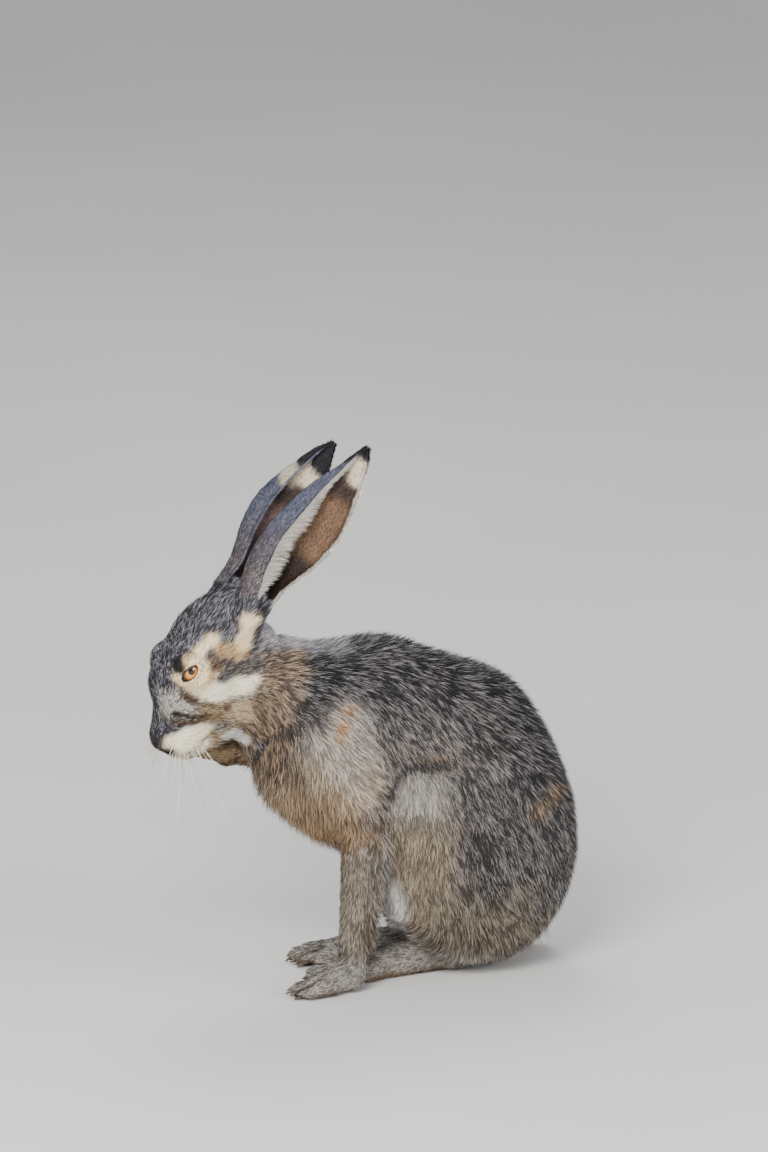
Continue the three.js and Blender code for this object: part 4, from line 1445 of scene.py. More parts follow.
    def blades(self, name: str, tufts: Tufts, draw: np.random.Generator) -> bpy.types.Mesh:
        """Build flat tapered blades of three faces on their roots.

        Args:
            name: Name of the mesh.
            tufts: The tufts.
            draw: Source of chance.

        Returns:
            The mesh, with its colours, normals and map.
        """
        count = len(tufts.root)
        side = np.cross(tufts.normal, tufts.along)
        twist = np.radians(draw.normal(0, self.twist, count))[:, None]
        side = unit(side * np.cos(twist) + tufts.normal * np.sin(twist))

        def way(lift: np.ndarray) -> np.ndarray:
            """The direction that leaves the skin at some degrees."""
            rise = np.radians(lift)[:, None]
            return tufts.along * np.cos(rise) + tufts.normal * np.sin(rise)

        first, last = way(tufts.lift * 1.25), way(tufts.lift * 1.25 - self.bow)
        long, half = tufts.length[:, None], tufts.width[:, None] / 2
        base = tufts.root - tufts.normal * 0.4
        middle = base + first * long * 0.48
        tip = middle + last * long * 0.54
        corners = np.stack(
            [
                base - side * half * 0.75,
                base + side * half * 0.75,
                middle - side * half,
                middle + side * half,
                tip,
            ],
            axis=1,
        )
        corners[..., 2] = np.maximum(corners[..., 2], 0.35)
        pattern = np.array([[0, 3, 1], [0, 2, 3], [2, 4, 3]])
        faces = (np.arange(count)[:, None, None] * 5 + pattern).reshape(-1, 3)
        mesh = write_mesh(name, Sheet(corners.reshape(-1, 3), faces))
        colours = tufts.colour[:, [0, 0, 1, 1, 2]]
        add_tone(mesh, np.clip(colours.reshape(-1, 3), 0, 1))
        spots = self.patches(tufts, draw)
        layer = mesh.uv_layers.new(name=BAKE_MAP)
        layer.data.foreach_set("uv", spots[faces.ravel()].astype(np.float32).ravel())
        face = unit(np.cross(side, last))
        face *= np.sign(np.einsum("ij,ij->i", face, tufts.normal))[:, None]
        lean = np.array([-0.35, 0.35, -0.35, 0.35, 0.0])[None, :, None]
        normals = (0.6 * tufts.normal + 0.4 * face)[:, None, :] + side[:, None, :] * lean
        mesh.normals_split_custom_set_from_vertices(unit(normals).reshape(-1, 3).tolist())
        return mesh

    def patches(self, tufts: Tufts, draw: np.random.Generator) -> np.ndarray:
        """The five corners of each tuft's patch on the map, at its root's place.

        Args:
            tufts: The tufts.
            draw: Source of chance.

        Returns:
            Rows of two, five a tuft.
        """
        angle = draw.uniform(0, 2 * math.pi, len(tufts.root))
        run = np.stack([np.cos(angle), np.sin(angle)], axis=1)[:, None, :]
        across = np.stack([-np.sin(angle), np.cos(angle)], axis=1)[:, None, :]
        shape = np.array([[-0.5, -0.5], [-0.5, 0.5], [0, -0.5], [0, 0.5], [0.5, 0]])
        offsets = run * shape[None, :, :1] + across * shape[None, :, 1:]
        spots = tufts.uv[:, None, :] * (1 - self.patch) + self.patch / 2 + offsets * self.patch
        return np.clip(spots, 0, 1).reshape(-1, 2)

    def make(self, material: bpy.types.Material) -> int:
        """Build and place the coat of every region.

        Args:
            material: The material of the tufts.

        Returns:
            How many faces it has.
        """
        total = 0
        for region in Region:
            tufts = self.grown(region)
            if region is Region.EARS:
                tufts = Tufts.joined([tufts, *(self.fringe(ear, tufts) for ear in EARS)])
            draw = np.random.default_rng(self.seed + 50 + list(Region).index(region))
            parts = -(-len(tufts.root) // self.most)
            order = np.argsort(tufts.root[:, 0], kind="stable")
            for number, rows in enumerate(np.array_split(order, parts), 1):
                ending = f"_{number}" if parts > 1 else ""
                name = f"coat_{region.name.lower()}{ending}"
                mesh = self.blades(name, tufts.only(rows), draw)
                place_piece(mesh, material, region.slot)
                total += len(mesh.polygons)
        return total

    def fringe(self, ear: Ear, tufts: Tufts) -> Tufts:
        """The fringe along both edges of an ear, long and pale on the front one.

        Args:
            ear: The ear.
            tufts: The tufts of both ears, for their places on the map.

        Returns:
            The tufts of the fringe.
        """
        draw = np.random.default_rng(self.seed + (70 if ear.hand > 0 else 71))
        count = self.edge_hairs
        along = draw.uniform(0.05, 0.985, count)
        rear = draw.random(count) < self.rear_share
        place, outward, normal = ear.edge(along, rear)
        axis = ear.axes()[0]
        lean = draw.uniform(0.5, 1.3, count)[:, None]
        way = unit(outward + axis * lean + draw.normal(0, 0.14, (count, 3)))
        normal = unit(laid(normal, way))
        tip = smooth_step(0.88, 0.95, along)
        taper = smooth_step(0.02, 0.2, along) * (1 - 0.75 * smooth_step(0.42, 0.8, along))
        reach = np.where(rear, 2.4, 2.0 + (ear.fringe - 2.0) * 1.25 * taper)
        furs = Tones.of(Coats.RIM if ear.opens else Coats.EAR_OUT, count)
        furs.lay(Coats.EAR_BAND if ear.opens else Coats.EAR_OUT, (~rear).astype(float))
        furs.lay(Coats.EAR_TIP, tip)
        return Tufts(
            place - outward * 0.8,
            normal,
            way,
            draw.uniform(0.7, 1.25, count) * reach,
            draw.uniform(0.35, 0.6, count),
            draw.uniform(-6, 10, count),
            self.coloured(place, furs, draw.random(count), draw),
            tufts.uv[nearest(tufts.root, place)],
        )


def quads(rows: int, columns: int, closed: bool = True) -> np.ndarray:
    """The four corners of each quad between rows of points.

    Args:
        rows: How many rows.
        columns: How many points in a row.
        closed: Whether the ends of a row meet.

    Returns:
        The numbers of the corners, row after row.
    """
    near = np.arange(columns if closed else columns - 1)
    start = np.arange(rows - 1)[:, None] * columns
    left, right = start + near, start + (near + 1) % columns
    return np.stack([left, right, right + columns, left + columns], axis=-1).reshape(-1, 4)


def halves(corners: np.ndarray) -> np.ndarray:
    """Each quad as two faces."""
    return corners[:, [0, 1, 2, 0, 2, 3]].reshape(-1, 3)


def tube(rows: int, sides: int) -> np.ndarray:
    """The faces of a tube of rings whose ends close on the last two points.

    Args:
        rows: How many rings.
        sides: How many points in a ring.

    Returns:
        Three numbers of points a face.
    """
    near = np.arange(sides)
    far, last = (near + 1) % sides, (rows - 1) * sides
    start = np.full(sides, rows * sides)
    ends = np.stack([start, far, near, start + 1, last + near, last + far], axis=1)
    return np.concatenate([halves(quads(rows, sides)), ends.reshape(-1, 3)])


def swept(path: np.ndarray, radius: np.ndarray, sides: int = 8, flat: float = 1.0) -> Sheet:
    """Sweep a round or flattened section along a path and close both ends.

    Args:
        path: Places along the path.
        radius: The section's radius at each place.
        sides: Corners of the section.
        flat: Height of the section against its width.

    Returns:
        The closed tube.
    """
    run = unit(np.gradient(path, axis=0))
    up = np.array([0.0, 0.0, 1.0])
    if abs(float(run[0] @ up)) > 0.9:
        up = np.array([0.0, 1.0, 0.0])
    turn = np.linspace(0, 2 * math.pi, sides, endpoint=False)
    rings = []
    for place, way, size in zip(path, run, radius):
        side = unit(np.cross(way, up))
        up = unit(np.cross(side, way))
        ring = np.cos(turn)[:, None] * side + np.sin(turn)[:, None] * up * flat
        rings.append(place + ring * size)
    return Sheet(np.concatenate([*rings, path[:1], path[-1:]]), tube(len(path), sides))


@dataclass(frozen=True)
class Mouth:
    """The line of the mouth and the cleft above it, in the frame of the head."""

    corner: float = 33
    front: float = 78
    corner_height: float = -20.5
    front_height: float = -13
    dip: float = 3
    cleft_top: float = -4

    def height(self, x: np.ndarray) -> np.ndarray:
        """How high the line of the mouth lies at places along the head.

        Args:
            x: Places along the head.

        Returns:
            One height a place.
        """
        t = np.clip((x - self.corner) / (self.front - self.corner), 0, 1)
        straight = self.corner_height + (self.front_height - self.corner_height) * t
        return straight - self.dip * np.sin(math.pi * t)

    def on_line(self, head: np.ndarray, reach: float) -> np.ndarray:
        """Which places lie on the line of the mouth or in the cleft.

        Args:
            head: Places in the frame of the head.
            reach: How near the line they must be.

        Returns:
            A mask of the places.
        """
        x, y, z = head.T
        level = self.height(x)
        slit = (x > self.corner) & (np.abs(z - level) < reach)
        cleft = (x > 56) & (np.abs(y) < reach * 0.8) & (z > level) & (z < self.cleft_top)
        return slit | cleft


@dataclass(frozen=True)
class Eye:
    """An eye with its lids. Its own frame has x to the front corner, y to the brow, z out.

    Rims gives how thick the rims of the upper and the lower lid are. Each row of lid has how far
    it lies outside the edge of the lid and how far over the ball.
    """

    side: Side
    radius: float = EYE_RADIUS
    forward: float = 12
    up: float = 10
    upper: tuple[Pair, ...] = ((-9.6, -3.6), (-5.2, 5.8), (6.2, 7.1), (7.8, -1.7))
    lower: tuple[Pair, ...] = ((-9.6, -3.6), (-5.0, -7.4), (4.2, -6.2), (7.8, -1.7))
    gaze: Pair = (-1.2, -1.4)
    rims: Pair = (0.85, 0.75)
    lid: tuple[Pair, ...] = ((0.1, 0.62), (1.0, 1.15), (2.2, 1.5), (3.8, 1.4), (5.6, 0.6))
    rings: int = 56
    spokes: int = 72

    def axes(self) -> np.ndarray:
        """The front, brow and out ways in the hare's frame, one a row.

        Returns:
            Three unit vectors.
        """
        s = self.side.value
        aim = turned(self.up * s, 0, -self.forward * s)
        return HEAD.way(np.array([(1, 0, 0), (0, 0, 1), (0, s, 0)], float) @ aim.T)

    def place(self, points: np.ndarray) -> np.ndarray:
        """Take points from the eye's frame to the hare's."""
        return points @ self.axes() + eye_centre(self.side)

    def outside(self, points: np.ndarray, grow: float) -> np.ndarray:
        """Which places lie outside the opening of the lids.

        Args:
            points: Places in the hare's frame.
            grow: How far past the edges of the lids the opening is taken, in millimetres.

        Returns:
            A mask of the places.
        """
        x, y, z = ((points - eye_centre(self.side)) @ self.axes().T).T
        high, low = self.edge(True, grow), self.edge(False, grow)
        inside = (x > high[0, 0]) & (x < high[-1, 0]) & (z > 2) & (z < 26)
        inside &= y < np.interp(x, high[:, 0], high[:, 1])
        inside &= y > np.interp(x, low[:, 0], low[:, 1])
        return ~inside

    def ball(self, material: bpy.types.Material) -> bpy.types.Object:
        """The eyeball, with a map of its disc for the iris.

        Args:
            material: The glossy material.

        Returns:
            The piece.
        """
        polar, turn = np.meshgrid(
            np.linspace(0, math.pi, self.rings + 1)[1:-1],
            np.linspace(0, 2 * math.pi, self.spokes, endpoint=False),
            indexing="ij",
        )
        wide = np.sin(polar)
        rows = np.stack([wide * np.cos(turn), wide * np.sin(turn), np.cos(polar)], axis=-1)
        ball = np.concatenate([rows.reshape(-1, 3), [[0, 0, 1], [0, 0, -1]]])
        faces = tube(self.rings - 1, self.spokes)
        if np.linalg.det(self.axes()) > 0:
            faces = faces[:, ::-1]
        mesh = write_mesh(f"eyeball_{self.side.word}", Sheet(self.place(ball * self.radius), faces))
        layer = mesh.uv_layers.new(name=DISC_MAP)
        disc = ball[:, :2] * self.radius - self.gaze
        disc[ball[:, 2] < 0] = (99, 99)
        layer.data.foreach_set("uv", disc[faces.ravel()].astype(np.float32).ravel())
        piece = place_piece(mesh, material, "eyes")
        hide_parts(f"eye_{self.side.word}")
        return piece

    def edge(self, upper: bool, grow: float = 0.0, steps: int = 41) -> np.ndarray:
        """The edge of a lid in the eye's plane.

        Args:
            upper: Whether it is the upper lid.
            grow: How far outside the edge, in millimetres.
            steps: How many places.

        Returns:
            Rows of x and y.
        """
        t = np.linspace(0, 1, steps)[:, None]
        a, b, c, d = np.array(self.upper if upper else self.lower)
        line = a * (1 - t) ** 3 + 3 * b * t * (1 - t) ** 2 + 3 * c * t**2 * (1 - t) + d * t**3
        run = unit(np.gradient(line, axis=0))
        off = np.stack([-run[:, 1], run[:, 0]], axis=1) * (1 if upper else -1)
        share = np.abs(2 * t - 1) ** 3
        outward = unit(off * (1 - share) + np.sign(2 * t - 1) * share * (1.0, 0.0))
        return line + outward * grow

    def on_ball(self, flat: np.ndarray, radius: float) -> np.ndarray:
        """Lift places of the eye's plane onto a ball round the eye."""
        rest = np.maximum(radius**2 - (flat**2).sum(axis=1), 0.0)
        return self.place(np.column_stack([flat, np.sqrt(rest)]))

    def lid_rims(self) -> Sheet:
        """The dark rims of both lids.

        Returns:
            Both rims as one mesh.
        """
        parts = []
        for upper, thick in zip((True, False), self.rims):
            path = self.on_ball(self.edge(upper, -0.2), self.radius + 0.45)
            taper = np.sqrt(1 - np.linspace(-1, 1, len(path)) ** 6) * 0.5 + 0.5
            parts.append(swept(path, thick * taper))
        return together(parts)

    def lids(self) -> Sheet:
        """The lids' own skin, from their rims out under the coat.

        Returns:
            Both lids as one mesh.
        """
        parts = []
        mirrored = np.linalg.det(self.axes()) > 0
        for upper in (True, False):
            rows = [self.on_ball(self.edge(upper, grow), self.radius + up) for grow, up in self.lid]
            faces = halves(quads(len(rows), len(rows[0]), closed=False))
            if upper == mirrored:
                faces = faces[:, ::-1]
            parts.append(Sheet(np.concatenate(rows), faces))
        return together(parts)

    def make(
        self, glass: bpy.types.Material, rim: bpy.types.Material, lid: bpy.types.Material
    ) -> None:
        """Build and place the eyeball, the rims and the lids.

        Args:
            glass: The eyeball's material.
            rim: The rims' material.
            lid: The lids' material.
        """
        self.ball(glass)
        place_piece(write_mesh(f"lid_rims_{self.side.word}", self.lid_rims()), rim, "coat_head")
        lids = self.lids()
        mesh = write_mesh(f"lids_{self.side.word}", lids)
        up = np.tile((0.0, 0.0, 1.0), (len(lids.points), 1))
        tones = Markings().paint(lids.points, up, np.full(len(lids.points), "head"))
        add_tone(mesh, tones.root * 0.9)
        place_piece(mesh, lid, "coat_head")


@dataclass(frozen=True)
class Nose:
    """The nostrils, in the frame of the head.

    Bare and its reach are the middle and the half sizes of the oval that is free of hair.
    """

    at: Triple = (63.6, 4.8, 2.8)
    half: Pair = (3.4, 1.5)
    lean: float = 24
    thick: float = 0.62
    bare: Triple = (64, 4.6, 2.5)
    bare_reach: Triple = (6, 2.6, 4.2)

    def hairless(self, head: np.ndarray) -> np.ndarray:
        """Which places in the frame of the head lie at a nostril.

        Args:
            head: Places in the frame of the head.

        Returns:
            A mask of the places.
        """
        x, y, z = self.bare
        away = [(head - (x, y * side.value, z)) / self.bare_reach for side in Side]
        return (np.linalg.norm(away, axis=2) < 1).any(axis=0)

    def rim(self, side: Side) -> np.ndarray:
        """The comma of one nostril's rim, in the hare's frame.

        Args:
            side: The side of the nostril.

        Returns:
            Places along the rim.
        """
        turn = np.radians(np.linspace(-200, 110, 25))
        lean = math.radians(self.lean)
        z, y = np.sin(turn) * self.half[0], np.cos(turn) * self.half[1]
        y, z = y * math.cos(lean) + z * math.sin(lean), z * math.cos(lean) - y * math.sin(lean)
        middle = (self.at[0], self.at[1] * side.value, self.at[2])
        return HEAD.place(np.column_stack([-0.16 * z - 0.5 * (y + 1), y * side.value, z]) + middle)

    def make(self, rim: bpy.types.Material, pit_shade: bpy.types.Material, skin: Skin) -> None:
        """Build and place the rims of the nostrils, and in their openings dark fans of painted
        shade, on the skin.

        Args:
            rim: The rims' material.
            pit_shade: The dark material of the painted shade in the nostril openings.
            skin: The skin that they sit on.
        """
        tree = skin.sheet.tree()
        rims, pit_shades = [], []
        ahead = HEAD.way((1.0, 0.0, 0.0))
        for side in Side:
            path = []
            for place in self.rim(side):
                hit = tree.ray_cast(Vector(place + ahead * 12), Vector(-ahead), 30)
                path.append(np.array(hit[0]) if hit[0] is not None else place)
            path = np.array(path)
            for _ in range(3):
                path[1:-1] = (path[:-2] + path[2:] + 2 * path[1:-1]) / 4
            sizes = self.thick * np.sin(np.linspace(0.35, math.pi - 0.35, len(path)))
            rims.append(swept(path + ahead * 0.25, sizes))
            # Painted shade: a dark fan sunk into each nostril, standing for the shadow in the
            # opening.
            middle = path.mean(axis=0)
            fan = np.concatenate([middle[None] - ahead * 1.4, middle + (path - middle) * 0.9])
            count = len(path)
            faces = [(0, 1 + i, 1 + (i + 1) % count) for i in range(count)]
            pit_shades.append(Sheet(fan, np.array(faces)))
        place_piece(write_mesh("nostril_rims", together(rims)), rim, "coat_head")
        place_piece(write_mesh("nostril_pits", together(pit_shades)), pit_shade, "coat_head")


@dataclass(frozen=True)
class Whiskers:
    """The long pale hairs of the muzzle."""

    seed: int = 5
    rows: int = 3
    in_row: int = 6
    root: float = 0.24
    tip: float = 0.09
    lengths: Pair = (34, 74)
    droop: float = 0.04
    curl: float = 0.05

    def strands(self) -> list[tuple[np.ndarray, np.ndarray, float]]:
        """The root, the way and the length of each whisker, in the head's frame.

        Returns:
            One row a whisker.
        """
        draw = np.random.default_rng(self.seed)
        strands = []
        for side in Side:
            s = side.value
            for row in range(self.rows):
                for i in range(self.in_row):
                    t = i / (self.in_row - 1)
                    x = 60 - 15 * t - 1.5 * row + draw.uniform(-1, 1)
                    z = -8 - 10 * t + 2.6 * row + draw.uniform(-0.8, 0.8)
                    y = s * (11 + 4 * t)
                    fan = 0.5 - 1.2 * t + draw.normal(0, 0.12)
                    down = np.array([-fan, -0.42 * s, -0.8 - 0.25 * t + draw.normal(0, 0.08)])
                    length = draw.uniform(*self.lengths) * (0.75 + 0.4 * t)
                    strands.append((np.array([x, y, z]), down @ HEAD.turn, length))
        return strands

    def make(self, material: bpy.types.Material, skin: Skin) -> None:
        """Build and place every whisker as one piece rooted in the skin.

        Args:
            material: The whiskers' material.
            skin: The skin that they grow from.
        """
        tree = skin.sheet.tree()
        tubes = []
        for at, way, length in self.strands():
            start, run = HEAD.place(at), unit(HEAD.way(way))
            found = tree.find_nearest(Vector(start))[0]
            start = np.array(found) - run * 0.6
            t = np.linspace(0, 1, 13)
            path = start + run * (t * length)[:, None]
            path[:, 2] -= self.droop * length * t**2
            side = unit(np.cross(run, (0.0, 0.0, 1.0)))
            path += side * (self.curl * length * (t**2))[:, None] * np.sign(way[1])
            tubes.append(swept(path, self.root + (self.tip - self.root) * t, 5))
        place_piece(write_mesh("whiskers", together(tubes)), material, "coat_head")


@dataclass(frozen=True)
class Claws:
    """The claws at the ends of the toes.

    Raised is the way that the toes of the raised paw point. Toes gives where the toes lie across a
    foot, as shares of half its width, and small the size of a forepaw's claws to a hind foot's.
    Sunk is how much of a claw lies in the toe, and bend how far its point comes down.
    """

    length: float = 8.5
    radius: float = 1.35
    sunk: float = 5.0
    bend: float = 3.0
    small: float = 0.72
    ahead: Triple = (-1.0, 0.0, 0.0)
    raised: Triple = (-0.97, 0.07, 0.22)
    toes: tuple[float, ...] = (-0.72, -0.26, 0.24, 0.7)
    feet: tuple[str, ...] = ("hind_foot_left", "hind_foot_right", "forepaw_left", "forepaw_right")

    def tips(self, foot: str) -> list[np.ndarray]:
        """The front end of each toe of a foot.

        Args:
            foot: Name of the node of the foot.

        Returns:
            One place a toe.
        """
        points = solid(foot).points
        ahead = unit(np.array(self.raised if foot in RAISED_LEG else self.ahead))
        far = points @ ahead
        fronts = points[far > np.quantile(far, 0.45)]
        low, high = fronts[:, 1].min(), fronts[:, 1].max()
        offset, wide = fronts[:, 1] - (low + high) / 2, (high - low) / 2
        strips = (fronts[np.abs(offset - at * wide) < wide * 0.2] for at in self.toes)
        return [strip[(strip @ ahead).argmax()] for strip in strips if len(strip)]

    def make(self, material: bpy.types.Material) -> None:
        """Build and place the claws of each foot.

        Args:
            material: The horn's material.
        """
        ahead = np.array(self.ahead)
        t = np.linspace(0, 1, 9)
        for foot in self.feet:
            tubes = []
            scale = 1.0 if foot in Region.FEET.nodes else self.small
            size = self.radius * scale * np.sqrt(1 - 0.97 * t**1.6)
            for tip in self.tips(foot):
                start = tip - ahead * self.sunk * scale + (0, 0, -0.2)
                path = start + ahead * (t * self.length * scale)[:, None]
                path[:, 2] -= self.bend * scale * t**2
                path[:, 2] = np.maximum(path[:, 2], 0.6)
                tubes.append(swept(path, size, flat=1.2))
            place_piece(write_mesh(f"claws_{foot}", together(tubes)), material, "coat_feet")


class Tap:
    """A socket of a shader that adds maths nodes when it is used in sums."""

    def __init__(self, graph: "Graph", socket: bpy.types.NodeSocket) -> None:
        """Keep the graph and the socket."""
        self.graph = graph
        self.socket = socket

    def _sum(self, kind: str, first: "Tap | float", second: "Tap | float") -> "Tap":
        """Add a Math node of two inputs."""
        inputs = {0: first, 1: second}
        return self.graph.add("ShaderNodeMath", {"operation": kind}, inputs).tap(0)

    def __add__(self, other: "Tap | float") -> "Tap":
        """This plus another."""
        return self._sum("ADD", self, other)

    def __sub__(self, other: "Tap | float") -> "Tap":
        """This less another."""
        return self._sum("SUBTRACT", self, other)

    def __mul__(self, other: "Tap | float") -> "Tap":
        """This times another."""
        return self._sum("MULTIPLY", self, other)

    def __pow__(self, other: "Tap | float") -> "Tap":
        """This to a power."""
        return self._sum("POWER", self, other)

    def eased(self, low: float, high: float) -> "Tap":
        """This eased from 0 at low to 1 at high.

        Args:
            low: Value where the ease starts.
            high: Value where it ends.

        Returns:
            The eased value.
        """
        settings = {"interpolation_type": "SMOOTHSTEP"}
        inputs = {"Value": self, "From Min": low, "From Max": high}
        return self.graph.add("ShaderNodeMapRange", settings, inputs).tap("Result")


class Made:
    """A node that was added to a graph."""

    def __init__(self, graph: "Graph", node: bpy.types.Node) -> None:
        """Keep the graph and the node."""
        self.graph = graph
        self.node = node

    def tap(self, name: str | int) -> Tap:
        """One of the node's outputs."""
        return Tap(self.graph, self.node.outputs[name])


class Graph:
    """The nodes of one material."""

    def __init__(self, name: str) -> None:
        """Start a material with nothing but its output.

        Args:
            name: Name of the material.
        """
        self.material = bpy.data.materials.new(name)
        self.material.use_nodes = True
        self.tree = self.material.node_tree
        self.tree.nodes.clear()
        self.output = self.tree.nodes.new("ShaderNodeOutputMaterial")

    def add(
        self, kind: str, settings: dict[str, object], inputs: dict[str | int, object]
    ) -> Made:
        """Add a node.

        Args:
            kind: The node's type.
            settings: Its own settings.
            inputs: Numbers, colours or taps for its sockets.

        Returns:
            The node.
        """
        node = self.tree.nodes.new(kind)
        for name, value in settings.items():
            setattr(node, name, value)
        for name, value in inputs.items():
            socket = node.inputs[name]
            if isinstance(value, Tap):
                self.tree.links.new(value.socket, socket)
            else:
                socket.default_value = value
        return Made(self, node)

    def mix(self, share: Tap | float, first: object, second: object, kind: str = "MIX") -> Tap:
        """Mix two colours.

        Args:
            share: How much of the second, 0 to 1.
            first: A colour or a tap.
            second: A colour or a tap.
            kind: How they are blended.

        Returns:
            The mixed colour.
        """
        settings = {"data_type": "RGBA", "blend_type": kind}
        return self.add("ShaderNodeMix", settings, {0: share, 6: first, 7: second}).tap(2)

    def tone(self) -> Tap:
        """The colour stored at the points."""
        return self.add("ShaderNodeAttribute", {"attribute_name": TONE}, {}).tap("Color")

    def noise(self, scale: float) -> Tap:
        """Noise in the piece's own space.

        Args:
            scale: Swells a metre.

        Returns:
            The noise, 0 to 1.
        """
        where = self.add("ShaderNodeTexCoord", {}, {}).tap("Object")
        inputs = {"Vector": where, "Scale": scale, "Detail": 3.0}
        return self.add("ShaderNodeTexNoise", {}, inputs).tap("Fac")

    def finish(self, inputs: dict[str | int, object]) -> bpy.types.Material:
        """End the graph in one surface shader.

        Args:
            inputs: Values or taps of the shader.

        Returns:
            The material.
        """
        surface = self.add("ShaderNodeBsdfPrincipled", {}, inputs)
        self.tree.links.new(surface.node.outputs[0], self.output.inputs[0])
        return self.material


def rgba(colour: Sequence[float]) -> tuple[float, ...]:
    """A colour of 0 to 255 as linear light with full cover."""
    return (*linear(colour).tolist(), 1.0)


@dataclass(frozen=True)
class FurFinish:
    """The finish of the tufts: the markings of each tuft with a little grain."""

    name: str = "fur"
    grain: float = 0.16
    rough: float = 0.6

    def make(self) -> bpy.types.Material:
        """Build the material.

        Returns:
            The material.
        """
        graph = Graph(self.name)
        tone = graph.tone()
        fine = graph.noise(850)
        level = fine * (2 * self.grain) + (1 - self.grain)
        grey = graph.add("ShaderNodeCombineColor", {}, {0: level, 1: level, 2: level}).tap(0)
        return graph.finish(
            {
                "Base Color": graph.mix(1.0, tone, grey, "MULTIPLY"),
                "Roughness": fine * 0.15 + (self.rough - 0.07),
                "Specular IOR Level": 0.3,
            }
        )


@dataclass(frozen=True)
class SkinFinish:
    """The finish of the skin under the tufts: its markings, with short fur as bump."""

    name: str = "under_fur"

    def make(self) -> bpy.types.Material:
        """Build the material.

        Returns:
            The material.
        """
        graph = Graph(self.name)
        tone = graph.tone()
        coarse, fine = graph.noise(420), graph.noise(1500)
        dark = graph.mix(coarse.eased(0.35, 0.7), (0.45, 0.43, 0.42, 1), (1.1, 1.1, 1.1, 1))
        height = coarse * 0.7 + fine * 0.3
        bump = graph.add(
            "ShaderNodeBump", {}, {"Strength": 0.6, "Distance": 0.0006, "Height": height}
        )
        return graph.finish(
            {
                "Base Color": graph.mix(1.0, tone, dark, "MULTIPLY"),
                "Roughness": fine * 0.2 + 0.65,
                "Specular IOR Level": 0.2,
                "Normal": bump.tap(0),
            }
        )


@dataclass(frozen=True)
class EyeFinish:
    """The finish of the eyeball: an amber iris with streaks, a dark pupil, a dark edge, and past it
    a pale rim that is partly sclera and partly painted reflection.
    """

    name: str = "eye"
    pupil: float = 2.5
    pupil_at: Pair = (-0.85, 1.5)
    iris: float = 6.3
    edge: float = 7.4
    # Where the pale rim past the dark edge, partly sclera and partly painted reflection, is full.
    white: float = 8.6

    def make(self) -> bpy.types.Material:
        """Build the material.

        Returns:
            The material.
        """
        graph = Graph(self.name)
        disc = graph.add("ShaderNodeUVMap", {"uv_map": DISC_MAP}, {}).tap(0)
        split = graph.add("ShaderNodeSeparateXYZ", {}, {0: disc})
        x, y = split.tap(0), split.tap(1)
        away = (x * x + y * y) ** 0.5
        angle = graph.add("ShaderNodeMath", {"operation": "ARCTAN2"}, {0: y, 1: x}).tap(0)
        spot = graph.add("ShaderNodeCombineXYZ", {}, {0: angle * 5.0, 1: away * 0.5}).tap(0)
        streak = graph.add(
            "ShaderNodeTexNoise", {}, {"Vector": spot, "Scale": 2.6, "Detail": 4.0}
        ).tap("Fac")
        amber = graph.mix(streak.eased(0.3, 0.7), rgba((196, 112, 24)), rgba((246, 172, 60)))
        inner = graph.mix(away.eased(2.0, 4.2), rgba((232, 158, 80)), amber)
        outer = graph.mix(
            (away + streak * 0.8).eased(self.iris - 1.9, self.iris + 0.2), inner, rgba((84, 34, 14))
        )
        ringed = graph.mix(away.eased(self.iris, self.edge), outer, rgba((20, 12, 10)))
        # Pale rim past the dark edge: partly sclera, partly a painted reflection at the corner of
        # the eye.
        rimmed_with_reflection = graph.mix(away.eased(self.edge, self.white), ringed, rgba((176, 150, 138)))
        px, py = x - self.pupil_at[0], y - self.pupil_at[1]
        shade = graph.mix(
            ((px * px + py * py) ** 0.5).eased(self.pupil, self.pupil + 0.45),
            rgba((8, 8, 12)),
            rimmed_with_reflection,
        )
        return graph.finish(
            {
                "Base Color": shade,
                "Roughness": 0.12,
                "IOR": 1.4,
                "Coat Weight": 1.0,
                "Coat Roughness": 0.02,
            }
        )


@dataclass(frozen=True)
class PlainFinish:
    """A finish of one colour that varies a little, for rims, horn and whiskers."""

    name: str
    light: Triple
    dark: Triple
    rough: float = 0.45
    scale: float = 300

    def make(self) -> bpy.types.Material:
        """Build the material.

        Returns:
            The material.
        """
        graph = Graph(self.name)
        noise = graph.noise(self.scale)
        return graph.finish(
            {
                "Base Color": graph.mix(noise.eased(0.3, 0.7), rgba(self.light), rgba(self.dark)),
                "Roughness": noise * 0.2 + (self.rough - 0.1),
            }
        )


@dataclass(frozen=True)
class Stand:
    """Where a lamp or the camera stands round what it points at: degrees and metres."""

    azimuth: float
    elevation: float
    distance: float

    def aim(self, thing: bpy.types.Object, target: Sequence[float]) -> None:
        """Stand an object off a target, which is in metres, and point it there.

        Args:
            thing: The lamp or camera.
            target: What it points at, in metres.
        """
        a, e = math.radians(self.azimuth), math.radians(self.elevation)
        back = Vector((math.sin(a) * math.cos(e), -math.cos(a) * math.cos(e), math.sin(e)))
        thing.location = Vector(target) + back * self.distance
        thing.rotation_euler = (-back).to_track_quat("-Z", "Y").to_euler()


@dataclass(frozen=True)
class Lamp:
    """A soft lamp that shines on the hare, with its power in watts and its width in metres."""

    name: str
    stand: Stand
    power: float
    size: float

    def make(self, target: Sequence[float]) -> None:
        """Add the lamp, pointed at a target in metres.

        Args:
            target: What it points at, in metres.
        """
        data = bpy.data.lights.new(self.name, "AREA")
        data.energy, data.size = self.power, self.size
        self.stand.aim(linked(self.name, data), target)


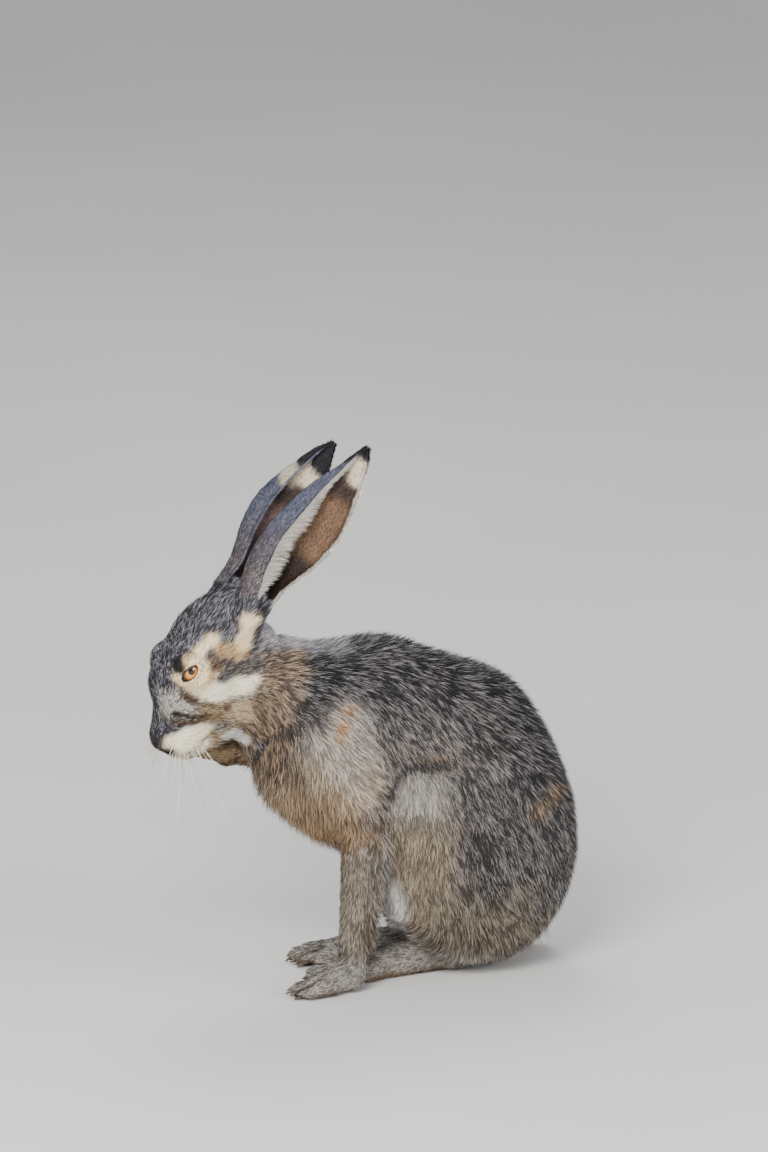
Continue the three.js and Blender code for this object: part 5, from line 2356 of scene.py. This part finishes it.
@dataclass(frozen=True)
class Studio:
    """The pale floor, the soft light and the camera at the photo's angle."""

    stand: Stand = Stand(-18, 15, 18.0)
    frame_height: float = 0.8533
    target: Triple = (-12.0, 1.3, 300.2)
    floor: float = 18.0
    sky: tuple[float, ...] = (0.92, 0.95, 1.0, 1)
    sky_strength: float = 0.58
    lit: Triple = (0, 0, 0.18)
    lamps: tuple[Lamp, ...] = (
        Lamp("key", Stand(-34, 34, 2.2), 66, 1.0),
        Lamp("side", Stand(46, 12, 2.2), 34, 0.9),
        Lamp("back", Stand(170, 50, 2.2), 22, 1.0),
    )

    def camera(self) -> None:
        """Add the camera."""
        data = bpy.data.cameras.new("camera")
        data.sensor_width = 36
        data.lens = 36 * self.stand.distance / self.frame_height
        data.clip_start, data.clip_end = 0.1, 90
        camera = linked("camera", data)
        self.stand.aim(camera, metres(np.array(self.target)))
        bpy.context.scene.camera = camera

    def make(self) -> None:
        """Add floor, light and camera."""
        half = self.floor / 2
        mesh = bpy.data.meshes.new("floor")
        corners = [(-half, -half, 0), (half, -half, 0), (half, half, 0), (-half, half, 0)]
        mesh.from_pydata(corners, [], [(0, 1, 2, 3)])
        floor = linked("floor", mesh)
        mesh.materials.append(PlainFinish("floor", (214, 212, 208), (208, 206, 203), 0.8, 2).make())
        world = bpy.data.worlds.new("studio")
        world.use_nodes = True
        shade = world.node_tree.nodes["Background"]
        shade.inputs[0].default_value = self.sky
        shade.inputs[1].default_value = self.sky_strength
        bpy.context.scene.world = world
        for lamp in self.lamps:
            lamp.make(self.lit)
        self.camera()


def main() -> None:
    """Build the hare piece by piece."""
    logging.basicConfig(level=logging.INFO, format="%(name)s: %(message)s")
    Studio().make()
    skin = Skin().make()
    LOG.info("skin: %d points, %d faces", len(skin.sheet.points), len(skin.sheet.faces))
    skin.piece(SkinFinish().make())
    fur = FurFinish().make()
    LOG.info("coat: %d faces", Coat(skin).make(fur))
    glass = EyeFinish().make()
    rim = PlainFinish("lid_rim", (52, 34, 28), (26, 17, 15), 0.3).make()
    lid = SkinFinish("lid_skin").make()
    for side in Side:
        Eye(side).make(glass, rim, lid)
    # Near black for the painted shade inside the nostrils.
    pit_shade = PlainFinish("nostril", (16, 11, 11), (8, 6, 6), 0.6).make()
    Nose().make(PlainFinish("nose_skin", (74, 58, 56), (40, 32, 33), 0.45).make(), pit_shade, skin)
    Whiskers().make(PlainFinish("whisker", (236, 229, 216), (186, 176, 160), 0.4).make(), skin)
    Claws().make(PlainFinish("horn", (96, 76, 60), (38, 30, 26), 0.4).make())


if __name__ == "__main__":
    main()
